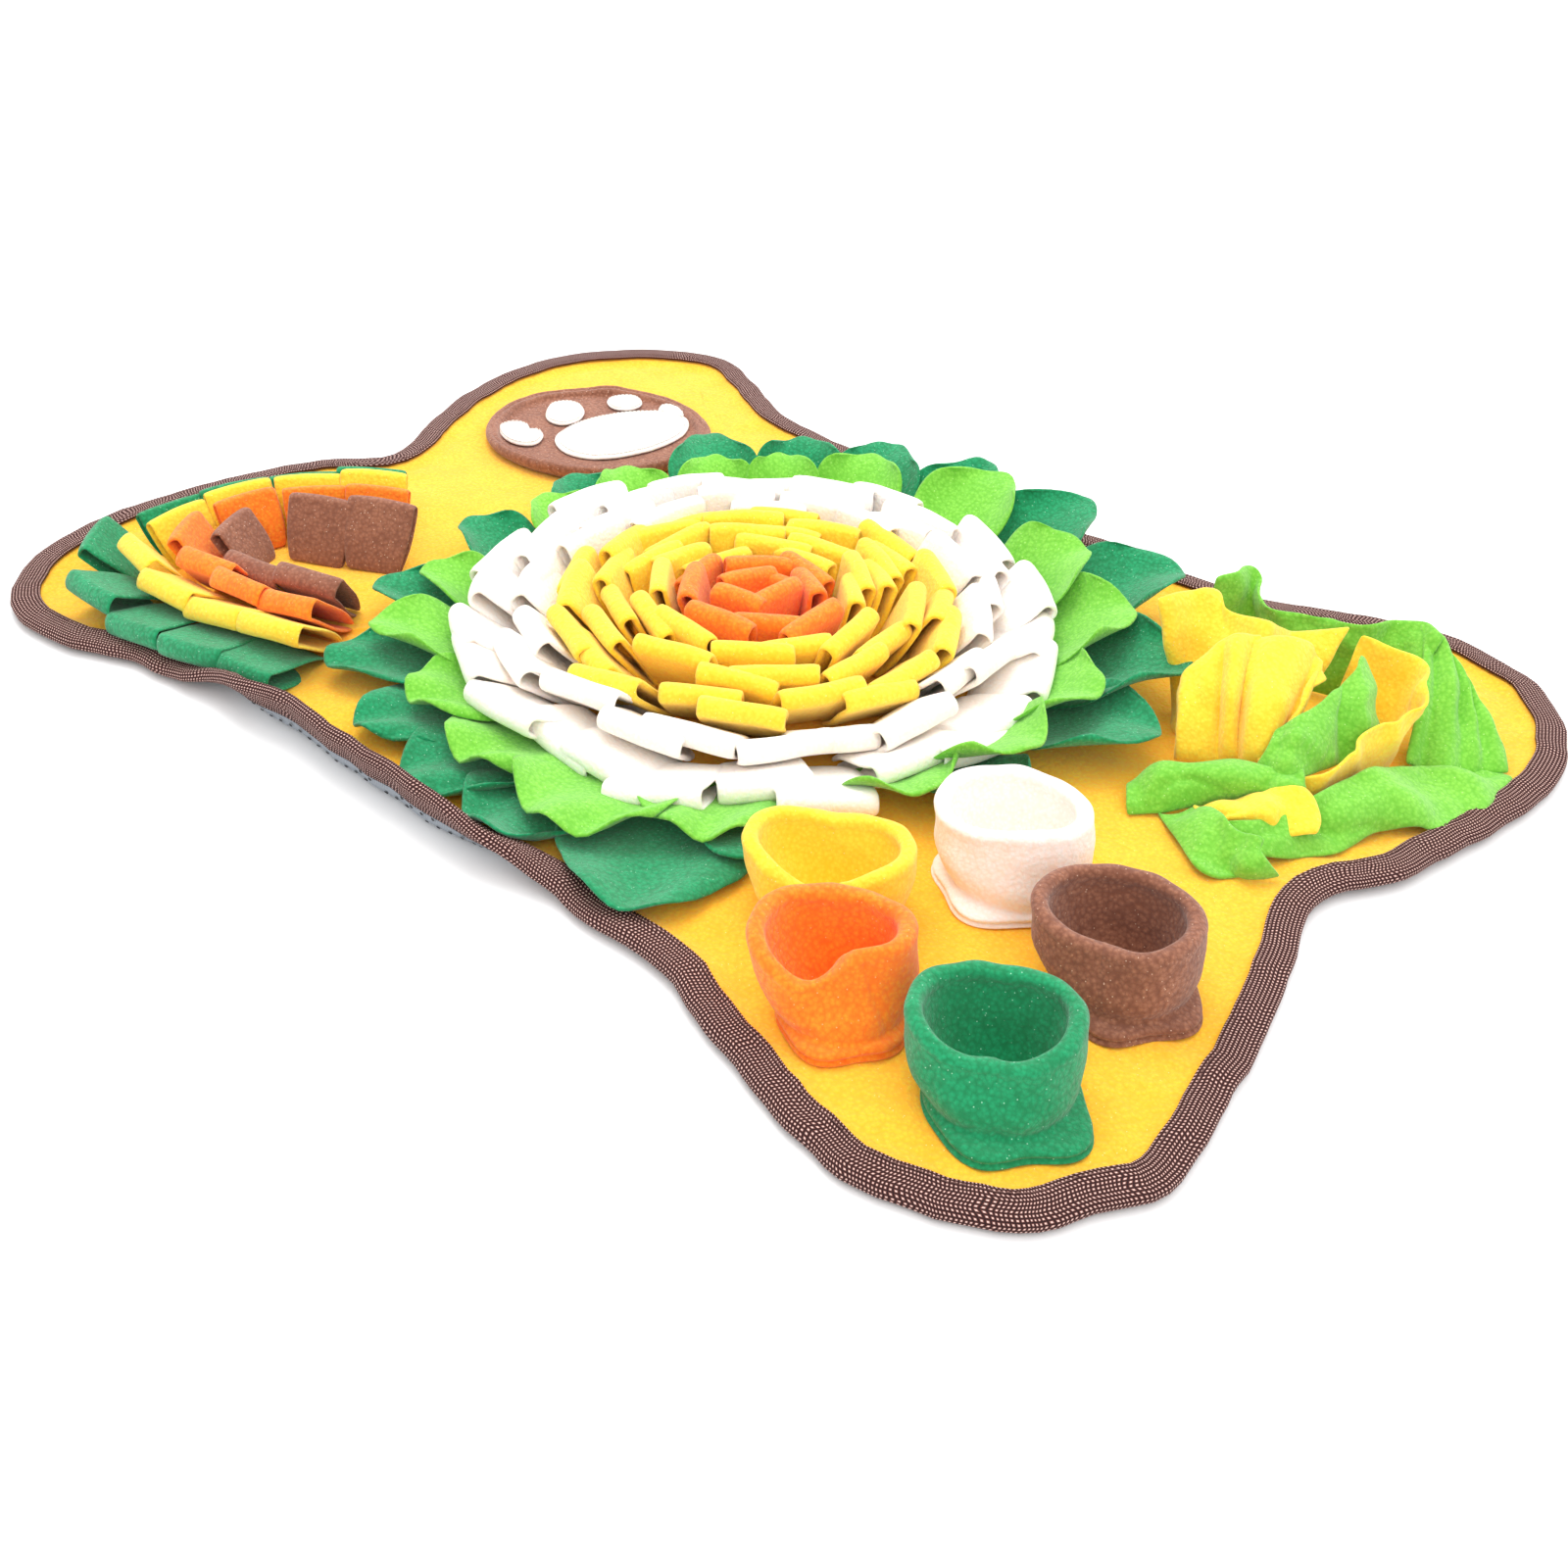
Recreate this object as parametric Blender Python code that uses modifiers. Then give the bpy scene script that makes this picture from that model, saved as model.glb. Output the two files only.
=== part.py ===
"""Snuffle mat: a four-lobed fleece play mat for a dog, lying flat on the floor.

A grey non-slip backing and a yellow fleece top are held at the rim by a folded
binding.  Sewn on the fleece are a large flower of folded loops in concentric rings
with two wreaths of leaves, a fan of folded tabs, a dish with a paw print, five
standing cups and a heap of crumpled lettuce-like sheets.

Metres, +Z up.  The origin is at the middle of the footprint, on the floor.  +X runs
along the mat's length towards the cups, +Y towards the dish and the lettuce.
"""

import math

import bpy
import numpy as np

MM = 0.001

# ---------------------------------------------------------------- driving sizes, mm
MAT_LENGTH = 700.0
MAT_WIDTH = 500.0
BACKING_THICK = 1.0
FLEECE_THICK = 2.4
SHEET_THICK = 1.9
LEAF_THICK = 1.9
BINDING_THICK = 1.0
BINDING_WIDTH = 15.0
PLY_GAP = 0.3
LEG_GAP = 0.6                       # between the binding's lower leg and the backing
RIM_SEGMENTS = 64

FLEECE_TOP = BACKING_THICK + PLY_GAP + FLEECE_THICK
BED = FLEECE_TOP + PLY_GAP          # lowest point of whatever is sewn on the fleece
BAND_MID = BED + SHEET_THICK / 2

CURL_HEIGHT = 11.0                  # the near waist turns up and shows the backing
CURL_CENTRE_X = -50.0
CURL_HALF_WIDTH = 125.0
RIM_INSET = 2.2                     # from the binding's outer edge to the cloths' edge
FOLD_ROUND = 1.2                    # how far the binding's fold is rounded off
RIPPLE_ZONE = 21.0                  # the rim's small waves end this far in
CURL_ZONE = 40.0                    # and the waist's curl this far in

FLOWER_CENTRE = (2.0, -8.0)

# Outline of the binding's outer edge: x, y.
OUTLINE = (
    (-346, 142), (-338, 182), (-313, 222), (-270, 247), (-228, 240), (-196, 222),
    (-150, 206), (-80, 204), (0, 205), (80, 208), (160, 214), (210, 234),
    (256, 249), (300, 239), (331, 210), (346, 175), (349, 138), (342, 96),
    (331, 40), (310, 5), (324, -48), (338, -110), (348, -170), (336, -200),
    (322, -224), (298, -240), (262, -249), (222, -243), (182, -229), (140, -216),
    (90, -215), (40, -214), (-20, -214), (-80, -213), (-138, -206), (-172, -217),
    (-210, -228), (-262, -247), (-300, -243), (-331, -214), (-345, -160),
    (-344, -100), (-326, -36), (-300, 0), (-322, 50), (-341, 96),
)

# Loop rings of the flower: root radius, loops, lean from the floor in degrees on the
# near side and on the far side, loop length, loop depth, colour.
FLOWER_RINGS = (
    (12, 4, 84, 84, 34, 8.0, "orange"),
    (29, 7, 76, 78, 36, 10.0, "orange"),
    (45, 9, 67, 75, 37, 10.0, "yellow"),
    (60, 12, 61, 74, 38, 10.0, "yellow"),
    (75, 15, 52, 73, 39, 9.2, "yellow"),
    (90, 16, 38, 72, 40, 9.6, "white"),
    (107, 19, 23, 74, 41, 9.6, "white"),
)
FAR_SIDE = math.radians(130)        # the loops and leaves here stand up most
LOOP_WIDTH = 35.0
BAND_WIDTH = 5.0

# Leaf wreaths: root radius, leaves, first leaf's angle in degrees, reach along the
# floor, half width, least height over the band, tip height on the near side and on
# the far side, colour.
LEAF_WREATHS = (
    (126, 16, 4.0, 54, 22.0, 5.2, 8.5, 23.0, "light_green"),
    (137, 16, 15.2, 74, 23.0, 1.6, 7.0, 17.0, "dark_green"),
)
WAIST_DEPTH = 40.0                  # how far the waists are drawn in from the lobes
LEAF_RISE = ((0.0, 0.0), (0.26, 0.12), (0.55, 0.55), (0.82, 0.9), (1.0, 1.0))
LEAF_CLEARANCE = 9.0                # between a leaf's tip and a cup's wall

# Fan rows: colour, the row's route as x, y, then its tabs from the far arm to the near
# arm as lean from the floor in degrees and length.  The tabs point to the right-hand
# side of the route, away from the fan's middle.
FAN_ROWS = (
    ("brown",
     ((-191, -79), (-220, -99), (-239, -111), (-242, -127), (-232, -143),
      (-204, -138), (-174, -128)),
     ((62, 26), (62, 26), (58, 26), (50, 28), (50, 30))),
    ("orange",
     ((-209, -66), (-240, -95), (-253, -114), (-258, -138), (-246, -159),
      (-209, -153), (-163, -140)),
     ((63, 28), (63, 28), (62, 28), (60, 29), (50, 33), (43, 36), (43, 36))),
    ("yellow",
     ((-221, -57), (-252, -90), (-267, -114), (-273, -146), (-261, -173),
      (-215, -168), (-157, -154)),
     ((64, 30), (64, 29), (62, 28), (60, 27), (50, 31), (35, 38), (33, 39), (33, 39))),
    ("dark_green",
     ((-233, -48), (-262, -82), (-280, -112), (-289, -150), (-277, -187),
      (-225, -184), (-152, -168)),
     ((62, 26), (62, 25), (60, 24), (56, 24), (42, 28), (26, 38), (16, 42), (15, 42),
      (15, 42))),
)
FAN_SPACE = (-236.0, -108.0, 52.0)  # a circle round the fan: x, y, radius
FAN_TAB_DEPTH = 3.6
FAN_TAB_MOST = 19.0                 # half width of the widest tab

# Cups: name, base x, base y, rim height, half length and half width of the mouth,
# turn in degrees, dent direction in degrees, dent depth as a share of the radius,
# direction and width of the sewn foot's widest side, colour.
CUPS = (
    ("green", 278, -182, 46, 32, 28.5, 40, -52, 0.24, -25, 7.0, "dark_green"),
    ("orange", 209, -186, 45, 29.5, 27, 20, -75, 0.34, -60, 4.0, "orange"),
    ("yellow", 167, -143, 40, 31.5, 28, 35, -60, 0.16, -40, 3.0, "yellow"),
    ("white", 210, -74, 43, 35, 31, 30, -50, 0.05, -110, 6.0, "white"),
    ("brown", 278, -100, 44, 32, 28, 40, 110, 0.06, -30, 6.0, "cup_brown"),
)
CUP_BASE_SHARE = 0.88               # of the mouth's size
CUP_WALL = 5.0
FOOT_THICK = 2.2
CUP_SEGMENTS = 24
CUP_LEAN_X = -6.0

# Paw dish and the white pieces sewn in it: x, y, half length, half width, turn.
DISH = (-237.0, 109.0, 69.0, 66.0, 10.0)
DISH_RIM = 6.0
PAW_PIECES = (
    ("paw_pad", -222, 107, 38, 26, 66),
    ("paw_toe_1", -265, 74, 13, 9, 35),
    ("paw_toe_2", -273, 107, 14, 9, 15),
    ("paw_toe_3", -259, 141, 14, 9, -30),
    ("paw_toe_4", -232, 155, 11, 7, -75),
)

# Lettuce sheets: name, colour, then sections of foot x, foot y, edge x, edge y,
# edge height.
LETTUCE = (
    ("lettuce_green_back", "light_green", (
        (180, 138, 170, 142, 50), (190, 148, 179, 166, 50), (202, 146, 194, 152, 42),
        (222, 148, 218, 152, 43), (241, 153, 238, 159, 44), (258, 162, 262, 182, 45),
        (276, 151, 280, 176, 42), (291, 139, 298, 172, 27), (303, 123, 323, 152, 9))),
    ("lettuce_green_side", "light_green", (
        (280, 40, 290, 24, 6), (284, 56, 303, 46, 6), (290, 71, 309, 64, 10),
        (297, 87, 318, 86, 7.5), (304, 102, 322, 111, 8), (308, 112, 322, 136, 8.5))),
    ("lettuce_yellow_back", "yellow", (
        (188, 88, 168, 92, 58), (197, 71, 184, 116, 60), (208, 68, 194, 112, 53),
        (222, 73, 214, 113, 54), (233, 84, 227, 126, 49), (240, 100, 240, 143, 50))),
    ("lettuce_yellow_fold", "yellow", (
        (235, 69, 236, 97, 46), (240, 75, 243, 104, 56), (246, 77, 250, 104, 46),
        (250, 73, 258, 99, 40))),
    ("lettuce_green_inner", "light_green", (
        (241, 55, 247, 65, 22), (252, 59, 260, 79, 38), (264, 71, 267, 90, 40),
        (269, 88, 264, 108, 48), (274, 101, 273, 119, 32))),
    ("lettuce_yellow_ribbon", "yellow", (
        (265, 45, 267, 48, 14), (274, 56, 276, 60, 21), (281, 70, 283, 73, 28),
        (285, 88, 286, 87, 35), (287, 107, 290, 108, 38), (284, 126, 288, 131, 42),
        (276, 132, 281, 149, 46), (264, 129, 264, 139, 48), (252, 124, 249, 137, 50))),
    ("lettuce_green_tongue", "light_green", (
        (219, -3, 210, 8, 18), (234, 12, 226, 21, 23), (247, 29, 238, 38, 24),
        (255, 44, 250, 52, 27))),
    ("lettuce_green_front", "light_green", (
        (231, -1, 243, 7, 12), (248, -9, 260, 5, 20), (266, -14, 275, 1, 22),
        (279, -6, 285, 7, 14))),
    ("lettuce_yellow_front", "yellow", (
        (246, 13, 243, 18, 12), (260, 19, 257, 27, 17), (270, 19, 267, 31, 20),
        (279, 13, 277, 24, 13))),
)

COLOURS = {
    "fleece": (0.98, 0.58, 0.035),
    "backing": (0.30, 0.33, 0.37),
    "binding": (0.175, 0.08, 0.068),
    "yellow": (1.0, 0.72, 0.035),
    "orange": (0.86, 0.17, 0.03),
    "white": (0.93, 0.88, 0.82),
    "dark_green": (0.018, 0.30, 0.12),
    "light_green": (0.22, 0.62, 0.06),
    "brown": (0.26, 0.12, 0.075),
    "cup_brown": (0.29, 0.105, 0.055),
}


# ---------------------------------------------------------------- scene and helpers
def clear_scene():
    for obj in list(bpy.data.objects):
        bpy.data.objects.remove(obj, do_unlink=True)
    parts = bpy.data.collections.new("snuffle_mat")
    bpy.context.scene.collection.children.link(parts)
    return parts


def material(key):
    name = key + "_cloth"
    mat = bpy.data.materials.get(name)
    if mat is None:
        mat = bpy.data.materials.new(name)
        mat.use_nodes = True
        shader = mat.node_tree.nodes["Principled BSDF"]
        shader.inputs["Base Color"].default_value = (*COLOURS[key], 1.0)
        shader.inputs["Roughness"].default_value = 0.95
        shader.inputs["Metallic"].default_value = 0.0
    return mat


def add_mesh(parts, name, verts, faces, colour, thickness=None):
    """One object from points in mm; an open surface gets its cloth thickness."""
    mesh = bpy.data.meshes.new(name)
    mesh.from_pydata([tuple(c * MM for c in v) for v in verts], [], faces)
    mesh.validate()
    mesh.shade_smooth()
    obj = bpy.data.objects.new(name, mesh)
    mesh.materials.append(material(colour))
    parts.objects.link(obj)
    if thickness is not None:
        solid = obj.modifiers.new("cloth", "SOLIDIFY")
        solid.thickness = thickness * MM
        solid.offset = 0.0
        solid.use_even_offset = False
        solid.use_quality_normals = True
    return obj


def lerp(a, b, t):
    return a + (b - a) * t


def smooth(t):
    t = min(max(t, 0.0), 1.0)
    return t * t * (3 - 2 * t)


def unit(x, y):
    size = math.hypot(x, y)
    return x / size, y / size


def wobble(index, seed):
    """A repeatable uneven value from -1 to 1."""
    return math.sin(index * 2.399 + seed * 1.7) * 0.6 + math.sin(index * 5.1 + seed) * 0.4


def catmull(points, count, closed):
    """Points at even spacing along a smooth curve through the given rows."""
    rows = np.array(points, float)
    last = len(rows)
    fine = []
    for i in range(last if closed else last - 1):
        if closed:
            p0, p1, p2, p3 = (rows[(i + k) % last] for k in (-1, 0, 1, 2))
        else:
            p0, p1, p2, p3 = (rows[min(max(i + k, 0), last - 1)] for k in (-1, 0, 1, 2))
        for t in np.linspace(0, 1, 24, endpoint=False):
            fine.append(0.5 * (2 * p1 + (p2 - p0) * t + (2 * p0 - 5 * p1 + 4 * p2 - p3) * t**2
                               + (3 * p1 - p0 - 3 * p2 + p3) * t**3))
    fine.append(rows[0] if closed else rows[-1])
    fine = np.array(fine)
    steps = np.linalg.norm(np.diff(fine[:, :2], axis=0), axis=1)
    along = np.concatenate([[0], np.cumsum(steps)])
    marks = np.linspace(0, along[-1], count + 1 if closed else count)
    if closed:
        marks = marks[:-1]
    return np.stack([np.interp(marks, along, fine[:, k]) for k in range(rows.shape[1])], axis=1)


# ---------------------------------------------------------------- mat and binding
def rim_curve():
    """Outline points fitted to the mat's length and width, with inward normals."""
    curve = catmull(OUTLINE, RIM_SEGMENTS, closed=True)
    low, high = curve.min(axis=0), curve.max(axis=0)
    size = np.array([MAT_LENGTH, MAT_WIDTH])
    curve = (curve - (low + high) / 2) * size / (high - low)
    along = np.roll(curve, -1, axis=0) - np.roll(curve, 1, axis=0)
    along /= np.linalg.norm(along, axis=1)[:, None]
    inward = np.stack([along[:, 1], -along[:, 0]], axis=1)
    if np.sum(inward * curve) > 0:
        inward = -inward
    return curve, inward


def rim_lift(x, y, inset):
    """Height of the mat above the floor, at a distance in from a point of its edge."""
    curl = 0.0
    if y < -150:
        curl = CURL_HEIGHT * smooth(1 - abs(x - CURL_CENTRE_X) / CURL_HALF_WIDTH)
    angle = math.atan2(y, x)
    ripple = 1.3 + 0.9 * math.sin(5 * angle + 1.0) + 0.4 * math.sin(11 * angle)
    inset = max(inset, RIM_INSET)
    ripple *= max(1 - (inset - RIM_INSET) / (RIPPLE_ZONE - RIM_INSET), 0.0)
    curl *= max(1 - (inset - RIM_INSET) / (CURL_ZONE - RIM_INSET), 0.0)
    return curl + ripple


def mat_layer(parts, name, colour, low, thickness, curve, inward):
    """One cloth of the mat: rings from the rim inwards, over a flat middle."""
    middle = low + thickness / 2
    # distance in from the edge, and how far the binding's lower leg raises the cloth
    step = BINDING_THICK + LEG_GAP
    rings = ((RIM_INSET, step), (BINDING_WIDTH + 0.5, step), (RIPPLE_ZONE, 0.0),
             (CURL_ZONE, 0.0))
    verts = []
    for inset, raised in rings:
        for (x, y), (nx, ny) in zip(curve, inward):
            verts.append((x + nx * inset, y + ny * inset,
                          middle + raised + rim_lift(x, y, inset)))
    verts.append((0, 0, middle))
    count = len(curve)
    faces = []
    for r in range(len(rings) - 1):
        for i in range(count):
            j = (i + 1) % count
            faces.append((r * count + i, r * count + j, (r + 1) * count + j,
                          (r + 1) * count + i))
    start = (len(rings) - 1) * count
    for i in range(count):
        faces.append((start + i, start + (i + 1) % count, len(verts) - 1))
    return add_mesh(parts, name, verts, faces, colour, thickness)


def binding(parts, curve, inward):
    """A folded strip round the rim: its C-shaped section is swept along the edge."""
    lower = FLEECE_TOP + BINDING_THICK + LEG_GAP + PLY_GAP
    upper = lower + BINDING_THICK
    wall = RIM_INSET - 0.4
    # section of the strip: distance in from the edge, height over the rim's lift
    section = (
        (BINDING_WIDTH, upper), (FOLD_ROUND, upper), (0.0, upper / 2), (FOLD_ROUND, 0.0),
        (BINDING_WIDTH - 2, 0.0), (BINDING_WIDTH - 2, BINDING_THICK),
        (wall, BINDING_THICK), (wall, lower), (BINDING_WIDTH, lower),
    )
    count = len(curve)
    verts = []
    for (x, y), (nx, ny) in zip(curve, inward):
        for inset, height in section:
            verts.append((x + nx * inset, y + ny * inset, height + rim_lift(x, y, inset)))
    size = len(section)
    faces = []
    for i in range(count):
        j = (i + 1) % count
        for k in range(size):
            m = (k + 1) % size
            faces.append((i * size + k, j * size + k, j * size + m, i * size + m))
    return add_mesh(parts, "binding", verts, faces, "binding")


# ---------------------------------------------------------------- combs of loops
def comb(parts, name, tabs, closed, colour, thickness):
    """A narrow sewn band with cloth tabs rising from its outer edge.

    Each tab is (inner row, rows): the band's inner points, then rows of points from
    the root row outwards, all of the same length.
    """
    verts, faces, inner_ids, root_ids = [], [], [], []
    for inner, rows in tabs:
        width = len(inner)
        first = len(verts)
        verts.extend(inner)
        for row in rows:
            verts.extend(row)
        for r in range(len(rows)):
            for k in range(width - 1):
                a = first + r * width + k
                faces.append((a, a + 1, a + 1 + width, a + width))
        inner_ids.append((first, first + width - 1))
        root_ids.append((first + width, first + 2 * width - 1))
    count = len(tabs)
    for i in range(count if closed else count - 1):
        j = (i + 1) % count
        faces.append((inner_ids[i][1], inner_ids[j][0], root_ids[j][0], root_ids[i][1]))
    return add_mesh(parts, name, verts, faces, colour, thickness)


def frame_at(x, y, nx, ny, twist=0.0):
    """Local frame at a root: place(u outwards, t sideways, z up)."""
    cos_t, sin_t = math.cos(twist), math.sin(twist)
    ox, oy = nx * cos_t - ny * sin_t, nx * sin_t + ny * cos_t

    def place(u, t, z):
        return (x + ox * u - oy * t, y + oy * u + ox * t, z)
    return place


def loop_profile(length, depth, lean):
    """Teardrop section of a folded loop, from its root up, over and back to the band."""
    ex, ez = math.cos(lean), math.sin(lean)
    mx, mz = -ez, ex
    half = depth / 2
    stations = (
        (length - half, -half), (length, -0.3 * half), (length, 0.3 * half),
        (length - half, half),
    )
    points = []
    for along, across in stations:
        points.append((ex * along + mx * across, ez * along + mz * across))
    points.append((-0.62 * BAND_WIDTH, 1.5 * SHEET_THICK + 0.9))
    return points


def loop_tab(x, y, nx, ny, root_half, tip_half, inner_half, length, depth, lean, twist):
    """One folded loop: two points across, the band's inner pair and the rows."""
    level = BAND_MID
    flat = frame_at(x, y, nx, ny)
    turned = frame_at(x, y, nx, ny, twist)
    inner = [flat(-BAND_WIDTH, t, level) for t in (-inner_half, inner_half)]
    rows = [[flat(0, t, level) for t in (-root_half, root_half)]]
    for u, z in loop_profile(length, depth, lean):
        share = smooth(math.hypot(u, z) / (0.7 * length))
        half = lerp(root_half, tip_half, share)
        place = turned if share > 0.3 else flat
        rows.append([place(u, -half, level + z), place(u, half, level + z)])
    return inner, rows


def flower_ring(parts, number, radius, count, near_lean, far_lean, length, depth, colour):
    cx, cy = FLOWER_CENTRE
    step = 2 * math.pi / count
    reach = radius + length * math.cos(math.radians(far_lean))
    tabs = []
    for i in range(count):
        angle = i * step + number * 0.83
        nx, ny = math.cos(angle), math.sin(angle)
        uneven = wobble(i, number)
        far = (0.5 + 0.5 * math.cos(angle - FAR_SIDE)) ** 2
        own_lean = lerp(near_lean, far_lean, far) + 1.1 * uneven
        root_half = radius * math.tan(step / 2) * 0.88
        tip_half = min(0.93 * reach * math.tan(step / 2), LOOP_WIDTH / 2, radius + 2.0)
        tabs.append(loop_tab(
            cx + nx * radius, cy + ny * radius, nx, ny, min(root_half, LOOP_WIDTH / 2),
            tip_half, min(root_half, LOOP_WIDTH / 2) * 0.9 * (1 - BAND_WIDTH / radius) + 0.3,
            length + 1.8 * uneven, depth, math.radians(own_lean),
            math.radians(2.0 * wobble(i, number + 4))))
    name = "flower_%s_%d" % (colour, number)
    return comb(parts, name, tabs, True, colour, SHEET_THICK)


# ---------------------------------------------------------------- leaves
def leaf_reach(angle, reach, radius):
    """Leaves next to the waist bindings and the cups are shorter, to stay clear."""
    cx, cy = FLOWER_CENTRE
    steep = abs(math.sin(angle))
    limit_y = MAT_WIDTH / 2 - WAIST_DEPTH - BINDING_WIDTH
    spare = limit_y - abs(cy + math.sin(angle) * (radius + reach))
    if spare < 0:
        reach += spare / max(steep, 0.5)
    for x, y, size in (*[(row[1], row[2], row[4]) for row in CUPS], FAN_SPACE):
        away = math.hypot(x - cx, y - cy)
        aside = away * math.sin(math.atan2(y - cy, x - cx) - angle)
        facing = math.cos(math.atan2(y - cy, x - cx) - angle) > 0
        if facing and abs(aside) < size + LEAF_CLEARANCE and away < radius + reach + size:
            reach = min(reach, away - size - LEAF_CLEARANCE - radius)
    return reach


def mat_rise(curve, x, y):
    """How far the fleece is raised under a point, by the rim's lift and binding."""
    inset = np.hypot(curve[:, 0] - x, curve[:, 1] - y)
    nearest = int(np.argmin(inset))
    distance = float(inset[nearest])
    step = (BINDING_THICK + LEG_GAP) * smooth((RIPPLE_ZONE + 4 - distance) / 4)
    return rim_lift(*curve[nearest], distance) + step


def leaf_wreath(parts, curve, radius, count, first, reach, half, low,
                near_tip, far_tip, colour):
    cx, cy = FLOWER_CENTRE
    step = 2 * math.pi / count
    level = BED + LEAF_THICK / 2
    root = 13.0
    tabs = []
    for i in range(count):
        angle = math.radians(first) + i * step
        nx, ny = math.cos(angle), math.sin(angle)
        place = frame_at(cx + nx * radius, cy + ny * radius, nx, ny,
                         math.radians(4 * wobble(i, 3)))
        flat = frame_at(cx + nx * radius, cy + ny * radius, nx, ny)
        own_reach = leaf_reach(angle, reach + 2 * wobble(i, 5), radius)
        far = smooth(0.5 + 0.5 * math.cos(angle - FAR_SIDE))
        tip = lerp(near_tip, far_tip, far)
        inner = [flat(-BAND_WIDTH, t, level) for t in (-root, 0.0, root)]
        rows = [[flat(0, t, level) for t in (-root, 0.0, root)]]
        # share of the reach, share of the half width, crease
        stations = ((0.26, 0.84, 0.0), (0.55, 1.0, 1.4), (0.82, 0.78, 2.4), (1.0, 0.25, 1.0))
        for share, wide, crease in stations:
            row = []
            rise = np.interp(share * own_reach / reach, *zip(*LEAF_RISE))
            height = max(tip * rise, low)
            for side in (-1, 0, 1):
                wave = (1.4 * side * wobble(i, 9) + wobble(i, 7)) * share * share
                x, y, z = place(own_reach * share, side * half * wide,
                                level + height + crease * abs(side) + wave)
                row.append((x, y, z + mat_rise(curve, x, y)))
            rows.append(row)
        tabs.append((inner, rows))
    return comb(parts, "leaves_" + colour, tabs, True, colour, LEAF_THICK)


# ---------------------------------------------------------------- fan
def fan_row(parts, colour, route, tab_table):
    count = len(tab_table)
    fine = catmull(route, 2 * count + 1, closed=False)
    tabs = []
    for i, (lean, length) in enumerate(tab_table):
        x, y = fine[2 * i + 1]
        dx, dy = fine[2 * i + 2] - fine[2 * i]
        pitch = math.hypot(dx, dy)
        tabs.append(loop_tab(
            x, y, dy / pitch, -dx / pitch, 0.44 * pitch, min(pitch * 0.5, FAN_TAB_MOST),
            0.40 * pitch, length + 1.5 * wobble(i, 2), FAN_TAB_DEPTH,
            math.radians(lean + 1.5 * wobble(i, 6)), 0.0))
    return comb(parts, "fan_" + colour, tabs, False, colour, SHEET_THICK)


# ---------------------------------------------------------------- cups
def cup(parts, name, x, y, height, half_long, half_wide, turn, dent_at, dent, foot_at,
        foot_size, colour):
    """A doubled fleece wall with a rounded rim and a sewn foot, lofted round."""
    # section: offset from the wall's outer face in mm, height as a share of the
    # wall's height, share of the dent; the foot's own two rows come first
    wall_rows = ((0.3, 0.86, 0.9), (-CUP_WALL / 2, 1.0, 1.0), (-CUP_WALL, 0.86, 1.0),
                 (-CUP_WALL, 0.40, 0.6), (-CUP_WALL, 0.0, 0.2))
    verts = []
    for i in range(CUP_SEGMENTS):
        angle = 2 * math.pi * i / CUP_SEGMENTS
        local = angle - math.radians(turn)
        radius = 1 / math.hypot(math.cos(local) / half_long, math.sin(local) / half_wide)
        away = (angle - math.radians(dent_at) + math.pi) % (2 * math.pi) - math.pi
        pinch = dent * math.exp(-(away / 0.55) ** 2)
        sag = 1 - 0.10 * math.exp(-((angle + 0.9 - 2 * math.pi) / 0.8) ** 2)
        sag += 0.03 * math.sin(3 * angle + x)
        side = 0.5 + 0.5 * math.cos(angle - math.radians(foot_at))
        foot = 1.2 + foot_size * side * side
        rows = [(foot, 0.0, 0.0), (foot, FOOT_THICK / height, 0.0),
                (0.4, 1.6 * FOOT_THICK / height, 0.1)]
        for offset, share, depth in (*rows, *wall_rows):
            z = share * (height - BED) * lerp(1.0, sag, share)
            r = radius * (1 - pinch * depth) * (1 + 0.04 * math.sin(2 * angle + y) * share)
            r = r * lerp(CUP_BASE_SHARE, 1.0, smooth(1.4 * share)) + offset
            verts.append((x + CUP_LEAN_X * share + r * math.cos(angle),
                          y + r * math.sin(angle), BED + z))
    size = len(rows) + len(wall_rows)
    faces = []
    for i in range(CUP_SEGMENTS):
        j = (i + 1) % CUP_SEGMENTS
        for k in range(size):
            m = (k + 1) % size
            faces.append((i * size + k, j * size + k, j * size + m, i * size + m))
    return add_mesh(parts, "cup_" + name, verts, faces, colour)


# ---------------------------------------------------------------- paw dish
def flat_piece(parts, name, x, y, half_long, half_wide, turn, level, rings, colour,
               segments, thickness, edge):
    """A round or oval cloth piece from rings of (share of size, height)."""
    verts, faces = [], []
    turn = math.radians(turn)
    for share, rise in rings:
        for i in range(segments):
            angle = 2 * math.pi * i / segments
            grow = share * edge(angle)
            u, v = half_long * grow * math.cos(angle), half_wide * grow * math.sin(angle)
            lift = rise * (1 + 0.25 * math.sin(3 * angle + x))
            verts.append((x + u * math.cos(turn) - v * math.sin(turn),
                          y + u * math.sin(turn) + v * math.cos(turn), level + lift))
    verts.append((x, y, level))
    for r in range(len(rings) - 1):
        for i in range(segments):
            j = (i + 1) % segments
            faces.append((r * segments + i, r * segments + j, (r + 1) * segments + j,
                          (r + 1) * segments + i))
    start = (len(rings) - 1) * segments
    for i in range(segments):
        faces.append((start + i, start + (i + 1) % segments, len(verts) - 1))
    return add_mesh(parts, name, verts, faces, colour, thickness)


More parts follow.
